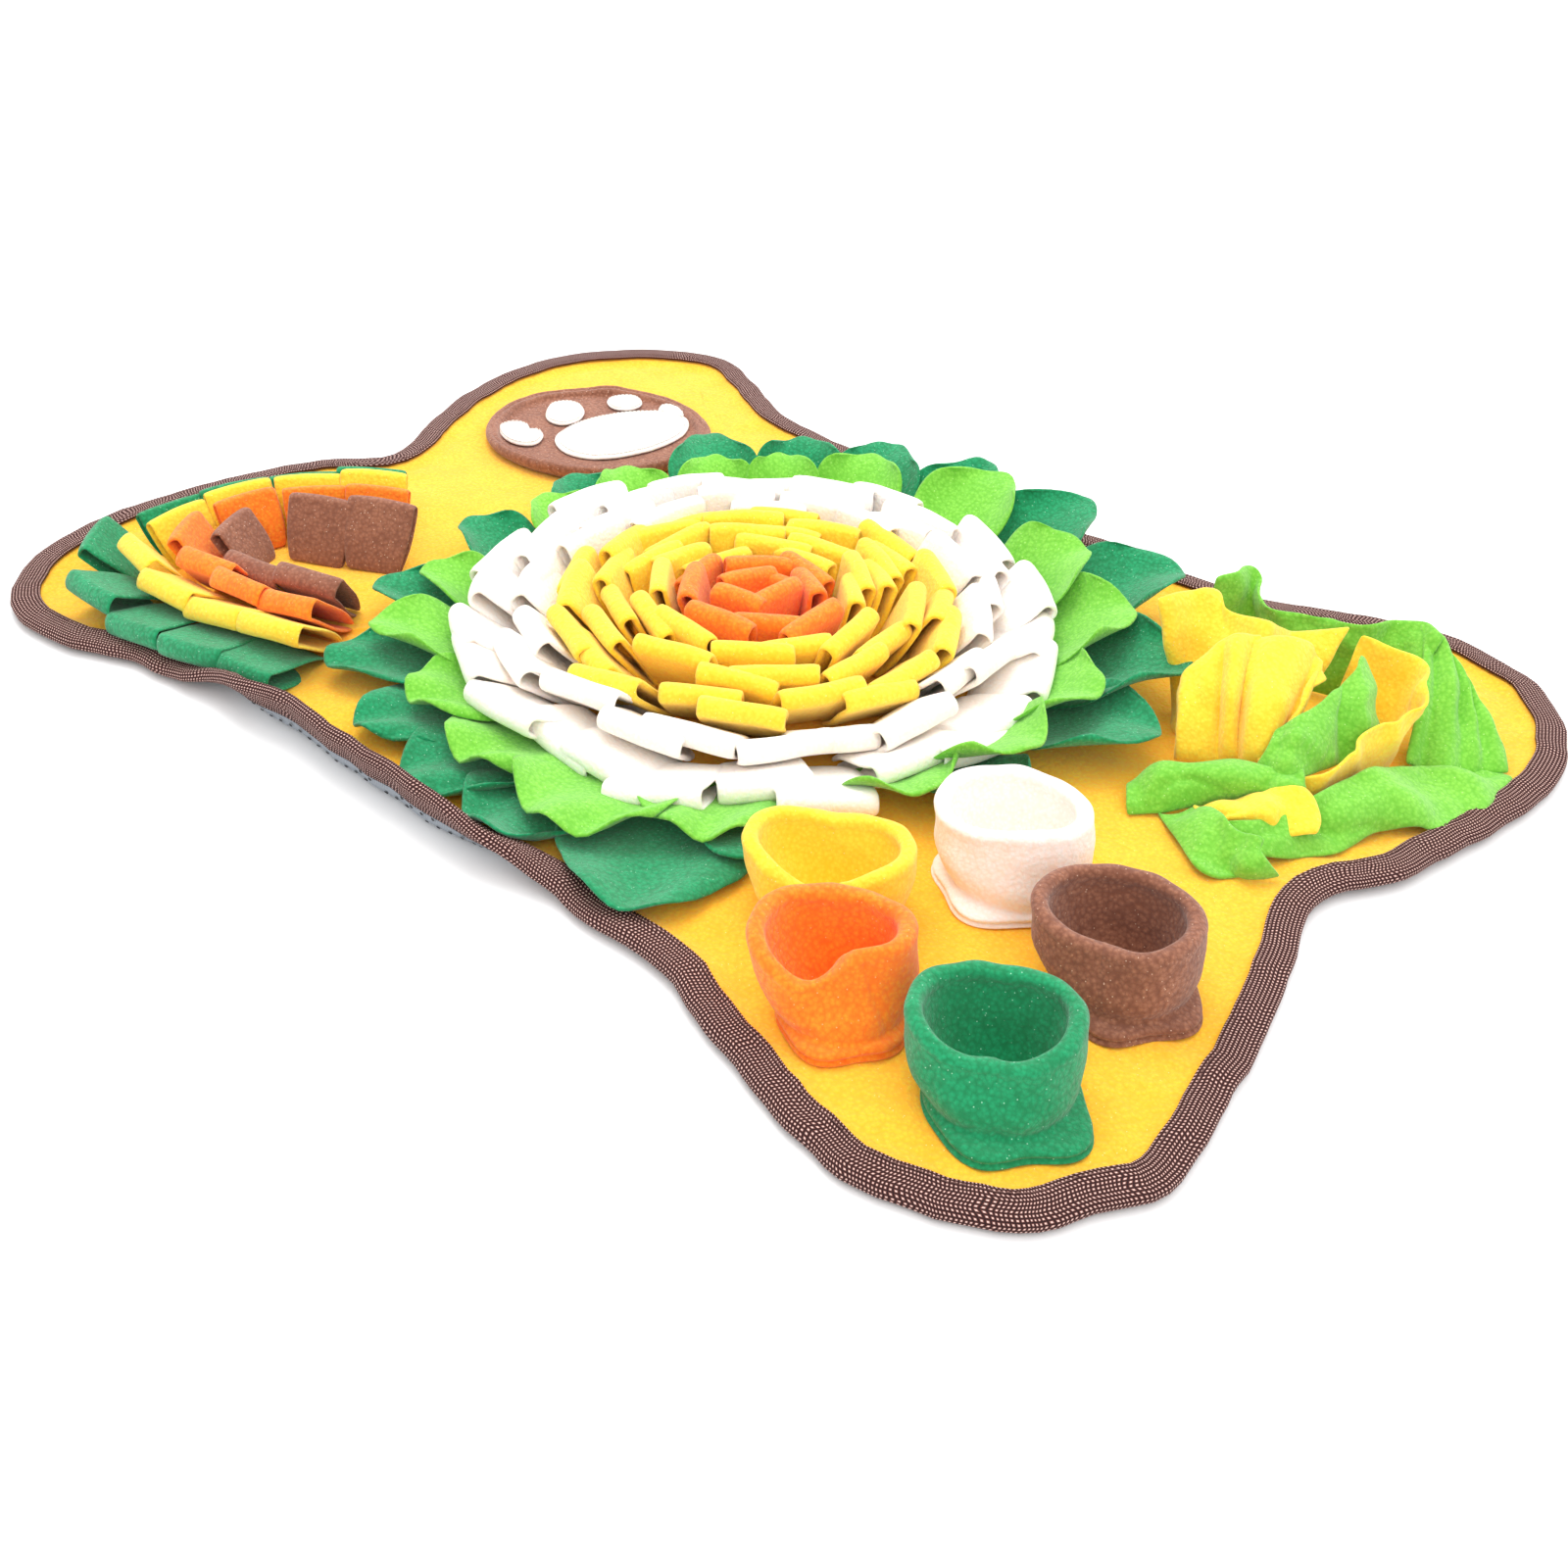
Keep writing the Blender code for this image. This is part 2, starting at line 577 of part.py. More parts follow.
def paw_dish(parts):
    x, y, half_long, half_wide, turn = DISH
    rings = ((1.0, DISH_RIM), (0.97, 0.5 * DISH_RIM), (0.90, 0.0))
    flat_piece(parts, "paw_dish", x, y, half_long, half_wide, turn, BAND_MID, rings,
               "brown", 28, SHEET_THICK, lambda a: 1 + 0.02 * math.sin(5 * a))
    level = BAND_MID + SHEET_THICK + PLY_GAP
    for name, px, py, half_long, half_wide, turn in PAW_PIECES:
        segments = 16 if name == "paw_pad" else 10
        flat_piece(parts, name, px, py, half_long, half_wide, turn, level, ((1.0, 0.0), (0.5, 0.0)),
                   "white", segments, SHEET_THICK,
                   lambda a: 1 + 0.07 * math.sin(2 * a + 1) + 0.03 * math.sin(5 * a))


# ---------------------------------------------------------------- lettuce
def lettuce_sheet(parts, name, colour, sections):
    """A ruled sheet between its sewn foot and its free edge, with soft folds."""
    count = 2 * len(sections) - 1
    fine = catmull(sections, count, closed=False)
    half = SHEET_THICK / 2
    verts = []
    rows = 3
    for i, (fx, fy, ex, ey, ez) in enumerate(fine):
        run = math.hypot(ex - fx, ey - fy)
        rise = max(ez - BED - half, 0.2)
        flatness = run / math.hypot(run, rise)
        foot = BED + half * flatness + 0.15
        for r in range(rows):
            t = r / (rows - 1)
            sag = math.sin(math.pi * t) * 1.4 * math.sin(1.9 * i + len(name))
            px, py = unit(-(ey - fy) - 0.01, (ex - fx) + 0.02)
            verts.append((lerp(fx, ex, t) + sag * px * 0.4, lerp(fy, ey, t) + sag * py * 0.4,
                          lerp(foot, max(ez, foot + 0.2), t ** 1.15)))
    faces = []
    for i in range(count - 1):
        for r in range(rows - 1):
            a = i * rows + r
            faces.append((a, a + rows, a + rows + 1, a + 1))
    return add_mesh(parts, name, verts, faces, colour, SHEET_THICK)


# ---------------------------------------------------------------- the whole mat
def build():
    parts = clear_scene()
    curve, inward = rim_curve()
    mat_layer(parts, "mat_backing", "backing", 0.0, BACKING_THICK, curve, inward)
    mat_layer(parts, "mat_fleece", "fleece", BACKING_THICK + PLY_GAP, FLEECE_THICK,
              curve, inward)
    binding(parts, curve, inward)
    for number, ring in enumerate(FLOWER_RINGS):
        flower_ring(parts, number + 1, *ring)
    for wreath in LEAF_WREATHS:
        leaf_wreath(parts, curve, *wreath)
    for row in FAN_ROWS:
        fan_row(parts, *row)
    for row in CUPS:
        cup(parts, *row)
    paw_dish(parts)
    for name, colour, sections in LETTUCE:
        lettuce_sheet(parts, name, colour, sections)


build()
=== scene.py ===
"""Snuffle mat, dressed in its cloths.

Sizes are in millimetres up to new_mesh and spread, which work in metres.  +X runs along
the mat towards the cups, +Y towards the paw dish, and the floor is at zero height.
"""

import math

import bpy
import numpy as np
from mathutils import Matrix, Vector, noise


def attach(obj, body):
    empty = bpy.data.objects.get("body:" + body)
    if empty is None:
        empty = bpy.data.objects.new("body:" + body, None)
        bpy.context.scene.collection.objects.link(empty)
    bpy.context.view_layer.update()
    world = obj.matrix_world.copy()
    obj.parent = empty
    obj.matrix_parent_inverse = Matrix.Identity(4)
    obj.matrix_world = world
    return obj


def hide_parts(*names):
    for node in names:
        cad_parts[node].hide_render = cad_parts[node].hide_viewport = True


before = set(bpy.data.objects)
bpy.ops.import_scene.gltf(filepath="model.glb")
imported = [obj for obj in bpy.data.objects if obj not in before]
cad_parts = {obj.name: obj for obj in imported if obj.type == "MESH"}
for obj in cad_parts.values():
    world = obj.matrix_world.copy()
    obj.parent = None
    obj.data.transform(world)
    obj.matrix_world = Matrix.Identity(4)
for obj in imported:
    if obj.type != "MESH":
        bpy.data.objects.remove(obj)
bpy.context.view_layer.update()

MM = 0.001

# ---------------- sizes, mm
MAT_SIZE = (700.0, 500.0)
RIM_STEPS = 320
BACKING_THICK = 0.7
DOT_HEIGHT = 0.3
DOT_PITCH = 6.0
FLEECE_LOW = 1.3
FLEECE_THICK = 2.4
BED = 4.0                           # the sewn pieces stand on this height
CLOTH = 1.9                         # thickness of leaves and sheets
LOOP_CLOTH = 3.0                    # the loops' cloth with its nap
BINDING_WIDTH = 15.0
BINDING_TOP = 7.6
BINDING_STEP = 1.6                  # the binding's lower leg raises the cloths' edge
RIM_INSET = 2.2
RIM_WAVE = 3.2                      # the rim is a little uneven in plan
CURL_ANGLE = math.radians(75)       # the near waist turns up by this much
CURL_CENTRE_X = -48.0
NEAR_SIDE = -150.0                  # only the rim nearer than this turns up
CURL_HALF_WIDTH = 140.0
CURL_START = 32.0                   # the bend lies between these distances from the edge
CURL_END = 17.0
CURL_REACH = 25.0                   # how much farther out that part of the cloth is cut
RIPPLE_ZONE = 21.0
FLEECE_CREASE = 1.5                 # height of the fleece's soft creases
STITCH_LENGTH = 2.2
STITCH_RADIUS = 0.28
TAPE_STITCH_PITCH = 3.1
PAW_STITCH_PITCH = 2.6
STITCH_INSET = 2.4                  # from the tape's inner edge
CALM_DISH = (70.0, 14.0)            # the creases fade in past this radius, over this width
CALM_CUP = (30.0, 12.0)
FLOWER_CENTRE = (2.0, -8.0)
FAR_SIDE = math.radians(130)        # the loops and leaves here stand up most

OUTLINE = (
    (-346, 142), (-338, 182), (-313, 222), (-270, 247), (-228, 240), (-196, 222),
    (-150, 206), (-80, 204), (0, 205), (80, 208), (160, 214), (210, 234),
    (256, 249), (300, 239), (331, 210), (346, 175), (349, 138), (342, 96),
    (331, 40), (310, 5), (324, -48), (338, -110), (348, -170), (336, -200),
    (322, -224), (298, -240), (262, -249), (222, -243), (182, -229), (140, -216),
    (90, -215), (40, -214), (-20, -214), (-80, -213), (-138, -218), (-170, -227),
    (-208, -236), (-258, -249), (-300, -243), (-331, -214), (-345, -160),
    (-344, -100), (-326, -36), (-300, 0), (-322, 50), (-341, 96),
)

# Flower rings: root radius, loops, lean in degrees near and far, length, depth, width,
# cloth, node.
RINGS = (
    (12, 4, 84, 84, 38, 7.5, 33, "orange", "flower_orange_1"),
    (27, 8, 74, 80, 39, 7.5, 36, "orange", "flower_orange_2"),
    (43, 12, 66, 80, 39, 7.0, 39, "yellow", "flower_yellow_3"),
    (58, 16, 55, 79, 41, 7.0, 40, "yellow", "flower_yellow_4"),
    (74, 21, 45, 78, 43, 7.5, 41, "yellow", "flower_yellow_5"),
    (91, 23, 35, 76, 46, 8.5, 44, "white", "flower_white_6"),
    (109, 27, 19, 74, 49, 8.5, 46, "white", "flower_white_7"),
)
RING_STAGGER = 3.6                  # every other loop is sewn this far out, the rest in
LOOP_CROWD = (1.3, 2.2)             # most width of a loop, by the room for it: heart, rest
LOOP_WRINKLE = (4.6, 45.0)          # height, and how many to a metre

# Leaves: angle in degrees, tip radius, tip height, half width, ruffle height.
DARK_LEAVES = (
    (-168, 187, 17, 24, 2), (-146, 199, 15, 26, 2), (-127, 213, 11, 30, 5),
    (-112, 207, 9, 31, 7), (-96, 207, 7, 34, 7), (-80, 212, 6, 36, 7),
    (-62, 229, 5, 44, 7), (-50, 190, 9, 28, 2), (-10, 191, 12, 27, 2),
    (12, 212, 18, 34, 3), (29, 216, 25, 37, 3), (51, 224, 28, 37, 3),
    (73, 214, 27, 34, 2), (92, 205, 26, 30, 2), (108, 203, 26, 28, 2),
    (124, 185, 30, 26, 2), (141, 205, 23, 27, 2), (168, 188, 18, 25, 2),
)
LIGHT_LEAVES = (
    (178, 171, 21, 23, 2), (160, 174, 23, 24, 2), (142, 165, 27, 22, 2),
    (126, 163, 30, 22, 2), (110, 178, 29, 26, 2), (87, 194, 32, 31, 2),
    (57, 178, 34, 36, 3), (38, 188, 30, 37, 3), (15, 180, 26, 34, 3),
    (-4, 178, 25, 34, 3), (-21, 171, 19, 30, 3), (-55, 183, 15, 34, 9),
    (-73, 196, 15, 38, 11), (-94, 183, 16, 35, 11), (-112, 181, 17, 30, 8),
    (-130, 191, 21, 27, 3), (-149, 177, 20, 24, 2),
)
DARK_ROOT = 132.0
LIGHT_ROOT = 122.0
DARK_FOOT = 1.0                     # height of the wreath's roots over the fleece
LIGHT_FOOT = 3.4
LEAF_HOLLOW = (0.16, 0.05)          # rise of the sides by half width: plain, ruffled leaves
RUFFLED = 5                         # ruffle height from which a leaf counts as ruffled

# Fan rows: cloth, route as x, y, then each tab's lean in degrees and length.
FAN_ROWS = (
    ("brown",
     ((-183, -86), (-214, -107), (-238, -117), (-242, -129), (-232, -143),
      (-204, -138), (-165, -127)),
     ((60, 34), (61, 32), (58, 27), (50, 29), (50, 31))),
    ("orange",
     ((-209, -66), (-240, -95), (-253, -114), (-258, -138), (-246, -159),
      (-209, -153), (-153, -139)),
     ((63, 28), (63, 28), (62, 28), (60, 29), (50, 33), (43, 36), (43, 36))),
    ("yellow",
     ((-221, -57), (-252, -90), (-267, -114), (-273, -146), (-261, -173),
      (-215, -168), (-145, -152)),
     ((64, 30), (64, 29), (62, 28), (60, 27), (50, 31), (35, 38), (33, 39), (33, 39))),
    ("dark_green",
     ((-233, -48), (-262, -82), (-280, -112), (-289, -150), (-277, -187),
      (-225, -184), (-138, -166)),
     ((62, 26), (62, 25), (60, 24), (56, 24), (42, 28), (26, 38), (16, 42), (15, 42),
      (15, 42))),
)
FAN_TAB_DEPTH = 5.0                 # of the tabs at the back; the front ones are rolls
FAN_FRONT_DEPTH = 9.5
TAB_WRINKLE = (2.0, 34.0)

# Cups: cloth, base x and y, rim height, then every 30 degrees from +X the mouth's
# radius and the rim's drop below that height.
CUPS = {
    "green": ("dark_green", 278, -182, 40,
              (27, 31, 33, 31, 29, 30, 33, 32, 28, 22, 19, 23),
              (4, 1, 0, 0, 1, 0, 0, 0, 3, 7, 7, 6)),
    "orange": ("orange", 209, -186, 43,
               (17, 27, 30, 28, 27, 29, 32, 33, 30, 22, 14, 13),
               (2, 0, 0, 0, 0, 0, 0, 1, 6, 14, 12, 6)),
    "yellow": ("yellow", 167, -143, 38,
               (30, 35, 34, 27, 24, 26, 33, 34, 27, 21, 20, 24),
               (1, 0, 0, 1, 2, 1, 0, 0, 5, 11, 12, 6)),
    "white": ("cup_white", 210, -74, 40,
              (29, 32, 32, 31, 31, 32, 33, 32, 29, 25, 24, 25),
              (-2, -1, 0, 0, 0, 0, 0, 1, 1, 0, -2, -3)),
    "brown": ("cup_brown", 278, -100, 41,
              (30, 32, 30, 28, 27, 29, 32, 33, 28, 22, 22, 27),
              (2, 1, 0, 0, 0, 0, 0, 1, 3, 5, 5, 4)),
}
# The sewn foot of each cup: direction of its widest side in degrees, its width there,
# the wall's offset towards the lean, x and y, and the direction of its sewn seam.
FEET = {
    "green": (-20, 11.0, -6, 2, -52), "orange": (-50, 6.0, -6, 0, -8),
    "yellow": (-20, 5.0, -5, 0, -30), "white": (-110, 8.0, -6, 0, -24),
    "brown": (-35, 8.5, -6, 0, -75),
}
CUP_WALL = 5.0
RIM_ROLL = 7.6                      # thickness of the turned rim
CUP_STEPS = 96
SEAM_DENT = (1.0, 0.045)            # depth of the sewn seam, half its width in radians

DISH = (-237.0, 109.0, 69.0, 66.0, 10.0)
DISH_RIM = 6.0
# Outlines of the pad and toes, x and y.
PAW = {
    "paw_pad": ((-250, 84), (-230, 74), (-209, 82), (-196, 109), (-195, 136), (-202, 153),
                (-214, 163), (-229, 160), (-243, 146), (-252, 128), (-256, 106)),
    "paw_toe_1": ((-286, 71), (-284, 82), (-274, 84), (-268, 79), (-263, 84), (-255, 79),
                  (-251, 68), (-261, 61), (-274, 63)),
    "paw_toe_2": ((-288, 115), (-285, 126), (-276, 129), (-264, 122), (-258, 110),
                  (-262, 99), (-275, 100)),
    "paw_toe_3": ((-268, 146), (-267, 157), (-258, 163), (-248, 157), (-247, 147),
                  (-256, 140)),
    "paw_toe_4": ((-237, 166), (-229, 170), (-222, 168), (-216, 161), (-224, 157),
                  (-234, 159)),
}
PAW_RISE = {"paw_pad": 1.6, "paw_toe_1": 2.0, "paw_toe_2": 1.6, "paw_toe_3": 1.4,
            "paw_toe_4": 1.4}

# Lettuce sheets that stand on a sewn foot: foot x, foot y, edge x, edge y, edge height.
STANDING = {
    "lettuce_green_back": (
        (180, 138, 170, 142, 50), (190, 148, 179, 166, 50), (202, 146, 194, 152, 42),
        (222, 148, 218, 152, 43), (241, 153, 238, 159, 44), (256, 156, 262, 182, 45),
        (270, 148, 278, 178, 43)),
    "lettuce_yellow_back": (
        (188, 88, 168, 92, 58), (197, 71, 184, 116, 60), (208, 68, 194, 112, 53),
        (222, 73, 214, 113, 54), (233, 84, 227, 126, 49), (240, 100, 240, 143, 50)),
    "lettuce_yellow_ribbon": (
        (262, 42, 268, 46, 20), (274, 54, 277, 58, 26), (281, 70, 283, 73, 32),
        (285, 88, 285, 88, 36), (287, 107, 289, 108, 38), (284, 122, 290, 126, 42),
        (276, 130, 282, 145, 45), (262, 128, 265, 144, 48), (250, 122, 250, 140, 51)),
}
# Lettuce sheets that lie on the others: sections of three places from side to side.
LYING = {
    "lettuce_green_back": (
        ((262, 180, 45), (277, 157, 32), (293, 116, 8)),
        ((275, 178, 44), (291, 160, 29), (308, 124, 7)),
        ((284, 176, 36), (306, 161, 20), (321, 138, 6)),
        ((295, 173, 26), (315, 164, 14), (331, 148, 6))),
    "lettuce_yellow_back": (
        ((212, 46, 7), (207, 53, 18), (198, 64, 32)),
        ((225, 50, 9), (215, 57, 28), (203, 77, 46)),
        ((236, 57, 12), (223, 63, 35), (209, 86, 56)),
        ((245, 58, 14), (234, 69, 35), (221, 97, 57))),
    "lettuce_yellow_fold": (
        ((240, 56, 12), (230, 66, 36), (218, 95, 55)),
        ((248, 56, 16), (246, 70, 39), (234, 105, 56)),
        ((251, 52, 18), (255, 72, 33), (241, 111, 53)),
        ((252, 57, 20), (257, 81, 40), (256, 100, 45))),
    "lettuce_green_inner": (
        ((251, 46, 20), (253, 50, 28), (252, 60, 36)),
        ((266, 47, 20), (262, 60, 32), (259, 78, 42)),
        ((273, 65, 20), (269, 74, 36), (261, 91, 46)),
        ((279, 82, 20), (272, 91, 38), (263, 100, 47)),
        ((282, 100, 22), (275, 109, 38), (259, 119, 52)),
        ((280, 110, 24), (277, 113, 32), (266, 119, 44))),
    "lettuce_green_side": (
        ((256, 8, 14), (264, 9, 13), (272, 0, 9)),
        ((274, 24, 18), (281, 20, 11), (289, 20, 5)),
        ((281, 45, 22), (292, 38, 14), (302, 37, 5)),
        ((286, 66, 23), (298, 56, 16), (306, 60, 6)),
        ((292, 88, 22), (309, 80, 17), (320, 74, 9)),
        ((300, 108, 15), (317, 110, 12), (332, 84, 8)),
        ((311, 126, 7), (325, 136, 8), (336, 118, 6)),
        ((316, 138, 6), (328, 147, 7), (335, 142, 6))),
    "lettuce_green_tongue": (
        ((209, 11, 10), (215, 2, 10), (219, -3, 5)),
        ((216, 24, 19), (223, 13, 17), (229, 7, 6)),
        ((230, 30, 22), (235, 21, 19), (240, 22, 7)),
        ((244, 42, 25), (251, 33, 23), (254, 34, 11)),
        ((260, 47, 26), (267, 40, 25), (269, 40, 16)),
        ((270, 56, 26), (275, 49, 26), (278, 48, 20))),
    "lettuce_green_front": (
        ((227, 9, 5), (234, 10, 8), (241, 21, 9)),
        ((247, -5, 5), (252, 0, 9), (256, 13, 15)),
        ((266, -17, 5), (267, -9, 9), (268, 4, 19)),
        ((279, -8, 5), (280, -5, 12), (279, 7, 19)),
        ((291, 5, 5), (284, 0, 15), (276, 8, 13))),
    "lettuce_yellow_front": (
        ((239, 18, 10), (246, 11, 13), (250, 9, 11)),
        ((249, 24, 14), (257, 18, 17), (262, 17, 13)),
        ((257, 34, 16), (270, 24, 20), (277, 23, 12)),
        ((266, 40, 23), (277, 35, 22), (285, 24, 14)),
        ((276, 45, 23), (287, 41, 18), (291, 32, 12))),
}
# Each sheet's cloth, then its pleats from foot to edge: how many, and how deep.
LETTUCE = {
    "lettuce_green_back": ("light_green", 3.5, 3.0),
    "lettuce_yellow_back": ("yellow", 2.0, 6.0),
    "lettuce_yellow_ribbon": ("yellow", 3.0, 2.5),
    "lettuce_yellow_fold": ("yellow", 1.5, 5.0),
    "lettuce_green_inner": ("light_green", 1.8, 4.5),
    "lettuce_green_side": ("light_green", 2.6, 4.0),
    "lettuce_green_tongue": ("light_green", 1.5, 3.0),
    "lettuce_green_front": ("light_green", 1.3, 3.5),
    "lettuce_yellow_front": ("yellow", 1.6, 3.5),
}

# Cloth colours: the nap painted as lit, the nap painted in shade, the specks' colour and share,
# light let in.
CLOTHS = {
    "fleece": ((1.0, 0.60, 0.019), (1.0, 0.45, 0.008), (1.0, 0.84, 0.34), 0.10),
    "yellow": ((1.0, 0.77, 0.057), (0.99, 0.61, 0.023), (1.0, 0.94, 0.45), 0.10),
    "orange": ((0.98, 0.305, 0.012), (0.92, 0.165, 0.004), (1.0, 0.55, 0.25), 0.12),
    "white": ((1.0, 0.955, 0.905), (1.0, 0.885, 0.79), (1.0, 1.0, 1.0), 0.05, 0.20),
    # The cups' white and brown are copies of those cloths with a deeper painted shade.
    "cup_white": ((1.0, 0.955, 0.915), (0.99, 0.83, 0.74), (1.0, 1.0, 1.0), 0.05, 0.08),
    "dark_green": ((0.007, 0.35, 0.135), (0.002, 0.20, 0.067), (0.40, 0.76, 0.54), 0.20),
    "light_green": ((0.25, 0.65, 0.064), (0.14, 0.48, 0.028), (0.62, 0.90, 0.33), 0.14),
    "brown": ((0.37, 0.150, 0.084), (0.21, 0.073, 0.039), (0.85, 0.63, 0.50), 0.26),
    "cup_brown": ((0.37, 0.150, 0.082), (0.19, 0.064, 0.033), (0.80, 0.55, 0.40), 0.22),
}
# Tape colours: painted shade in the gaps between the yarns, the yarn, its paler tops.
TAPE_COLOURS = ((0.024, 0.007, 0.007), (0.20, 0.068, 0.053), (0.80, 0.56, 0.50))
BACKING_COLOURS = ((0.20, 0.22, 0.25), (0.36, 0.39, 0.43))
YARN_PITCH = 0.0011                 # of the backing's weave, in metres


# ---------------- small helpers
def lerp(a, b, t):
    return a + (b - a) * t


def smooth(t):
    t = min(max(t, 0.0), 1.0)
    return t * t * (3 - 2 * t)


def wobble(index, seed):
    """A repeatable uneven value from -1 to 1."""
    return math.sin(index * 2.399 + seed * 1.7) * 0.6 + math.sin(index * 5.1 + seed) * 0.4


def ripple(x, y, size, seed):
    """Smooth noise from about -1 to 1 over a place on the mat."""
    return noise.noise(Vector((x / size, y / size, seed)))


def between(p0, p1, p2, p3, t):
    """A smooth curve's value from p1 to p2, bent by its neighbours p0 and p3."""
    return 0.5 * (2 * p1 + (p2 - p0) * t + (2 * p0 - 5 * p1 + 4 * p2 - p3) * t**2
                  + (3 * p1 - p0 - 3 * p2 + p3) * t**3)


def lengths_along(places):
    """How far along a line each of its places lies."""
    steps = np.linalg.norm(np.diff(places, axis=0), axis=1)
    return np.concatenate([[0], np.cumsum(steps)])


def at_lengths(places, along, marks):
    """The places at the given lengths along a line."""
    return np.stack([np.interp(marks, along, column) for column in places.T], axis=1)


def catmull(points, count, closed):
    """Points at even spacing along a smooth curve through the given rows."""
    rows = np.array(points, float)
    last = len(rows)
    fine = []
    for i in range(last if closed else last - 1):
        near = [(i + k) % last if closed else min(max(i + k, 0), last - 1)
                for k in (-1, 0, 1, 2)]
        for t in np.linspace(0, 1, 24, endpoint=False):
            fine.append(between(*rows[near], t))
    fine.append(rows[0] if closed else rows[-1])
    fine = np.array(fine)
    along = lengths_along(fine[:, :2])
    marks = np.linspace(0, along[-1], count + 1 if closed else count)
    return at_lengths(fine, along, marks[:-1] if closed else marks)


def around(values, angle):
    """A smooth value at an angle, from values given at even steps round a circle."""
    count = len(values)
    place = (angle / (2 * math.pi) * count) % count
    i = int(place)
    return between(*(values[(i + k) % count] for k in (-1, 0, 1, 2)), place - i)


# ---------------- node helpers
class Nodes:
    """Adds and links the nodes of one tree."""

    def __init__(self, tree):
        self.tree = tree

    def add(self, kind, inputs=(), **settings):
        node = self.tree.nodes.new(kind)
        for name, value in settings.items():
            setattr(node, name, value)
        for key, value in dict(inputs).items():
            if isinstance(value, bpy.types.NodeSocket):
                self.tree.links.new(value, node.inputs[key])
            else:
                node.inputs[key].default_value = value
        return node

    def math(self, operation, a, b=0.0, c=0.0):
        return self.add("ShaderNodeMath", {0: a, 1: b, 2: c}, operation=operation).outputs[0]

    def waves(self, value, pitch):
        return self.math("SINE", self.math("MULTIPLY", value, 2 * math.pi / pitch))

    def mix(self, share, a, b):
        """Two colours mixed; each is a socket, or red, green and blue."""
        a, b = (c if isinstance(c, bpy.types.NodeSocket) else (*c, 1.0) for c in (a, b))
        return self.add("ShaderNodeMix", {0: share, 6: a, 7: b}, data_type="RGBA").outputs[2]

    def ramp(self, value, low, high):
        node = self.add("ShaderNodeMapRange", {"Value": value, "From Min": low, "From Max": high},
                        interpolation_type="SMOOTHSTEP")
        return node.outputs[0]

    def here(self):
        """The place on the object, in metres."""
        return self.add("ShaderNodeTexCoord").outputs["Object"]

    def grain(self, place, scale, **more):
        inputs = {"Vector": place, "Scale": scale, **more}
        return self.add("ShaderNodeTexNoise", inputs).outputs["Fac"]


def start_material(name):
    mat = bpy.data.materials.new(name)
    mat.use_nodes = True
    return mat, Nodes(mat.node_tree)


def finish(mat, nodes, colour, sockets, bump=None):
    """Links the colour and the bump (height, strength, depth in metres), sets sockets."""
    shader = mat.node_tree.nodes["Principled BSDF"]
    mat.node_tree.links.new(colour, shader.inputs["Base Color"])
    for name, value in sockets.items():
        shader.inputs[name].default_value = value
    if bump:
        made = nodes.add("ShaderNodeBump", zip(("Height", "Strength", "Distance"), bump))
        mat.node_tree.links.new(made.outputs[0], shader.inputs["Normal"])
    return mat


# ---------------- materials
def fleece_material(name, lit, shaded, speck, speck_share, glow=0.0):
    """Short-napped fleece: clumped fibres, little pills and paler fibre ends; the nap is painted
    lit on the clumps and painted in shade between them and in broad patches.
    """
    mat, nodes = start_material(name)
    place = nodes.here()
    patches = nodes.grain(place, 45.0, Detail=3.0)
    fibres = nodes.grain(place, 950.0, Detail=4.0, Roughness=0.75)
    pills = nodes.grain(place, 330.0, Detail=2.0, Roughness=0.6)
    clumps = nodes.add("ShaderNodeTexVoronoi", {"Vector": place, "Scale": 520.0})
    depth = nodes.math("MULTIPLY_ADD", clumps.outputs["Distance"], -0.9, 1.0)
    nap = nodes.math("MULTIPLY", depth, fibres)
    share = nodes.math("MULTIPLY_ADD", patches, 0.35, nap)
    # Painted light and shade: the lit colour on the clumps' tops, the shaded colour between them
    # and in broad patches.
    colour = nodes.mix(nodes.ramp(share, 0.25, 0.75), shaded, lit)
    bits = nodes.add("ShaderNodeTexVoronoi", {"Vector": place, "Scale": 640.0, "Randomness": 1.0})
    dots = nodes.ramp(bits.outputs["Distance"], 0.20, 0.08)
    draw = nodes.add("ShaderNodeSeparateColor", {"Color": bits.outputs["Color"]}).outputs[0]
    chosen = nodes.math("LESS_THAN", draw, speck_share)
    colour = nodes.mix(nodes.math("MULTIPLY", dots, chosen), colour, speck)
    height = nodes.math("MULTIPLY_ADD", pills, 0.8, nap)
    sockets = {
        "Roughness": 0.95, "Specular IOR Level": 0.2, "Sheen Weight": 0.25,
        "Sheen Roughness": 0.6, "Subsurface Weight": glow, "Subsurface Scale": 0.006,
        "Subsurface Radius": (1.0, 0.45, 0.25),
    }
    return finish(mat, nodes, colour, sockets, (height, 0.55, 0.0011))


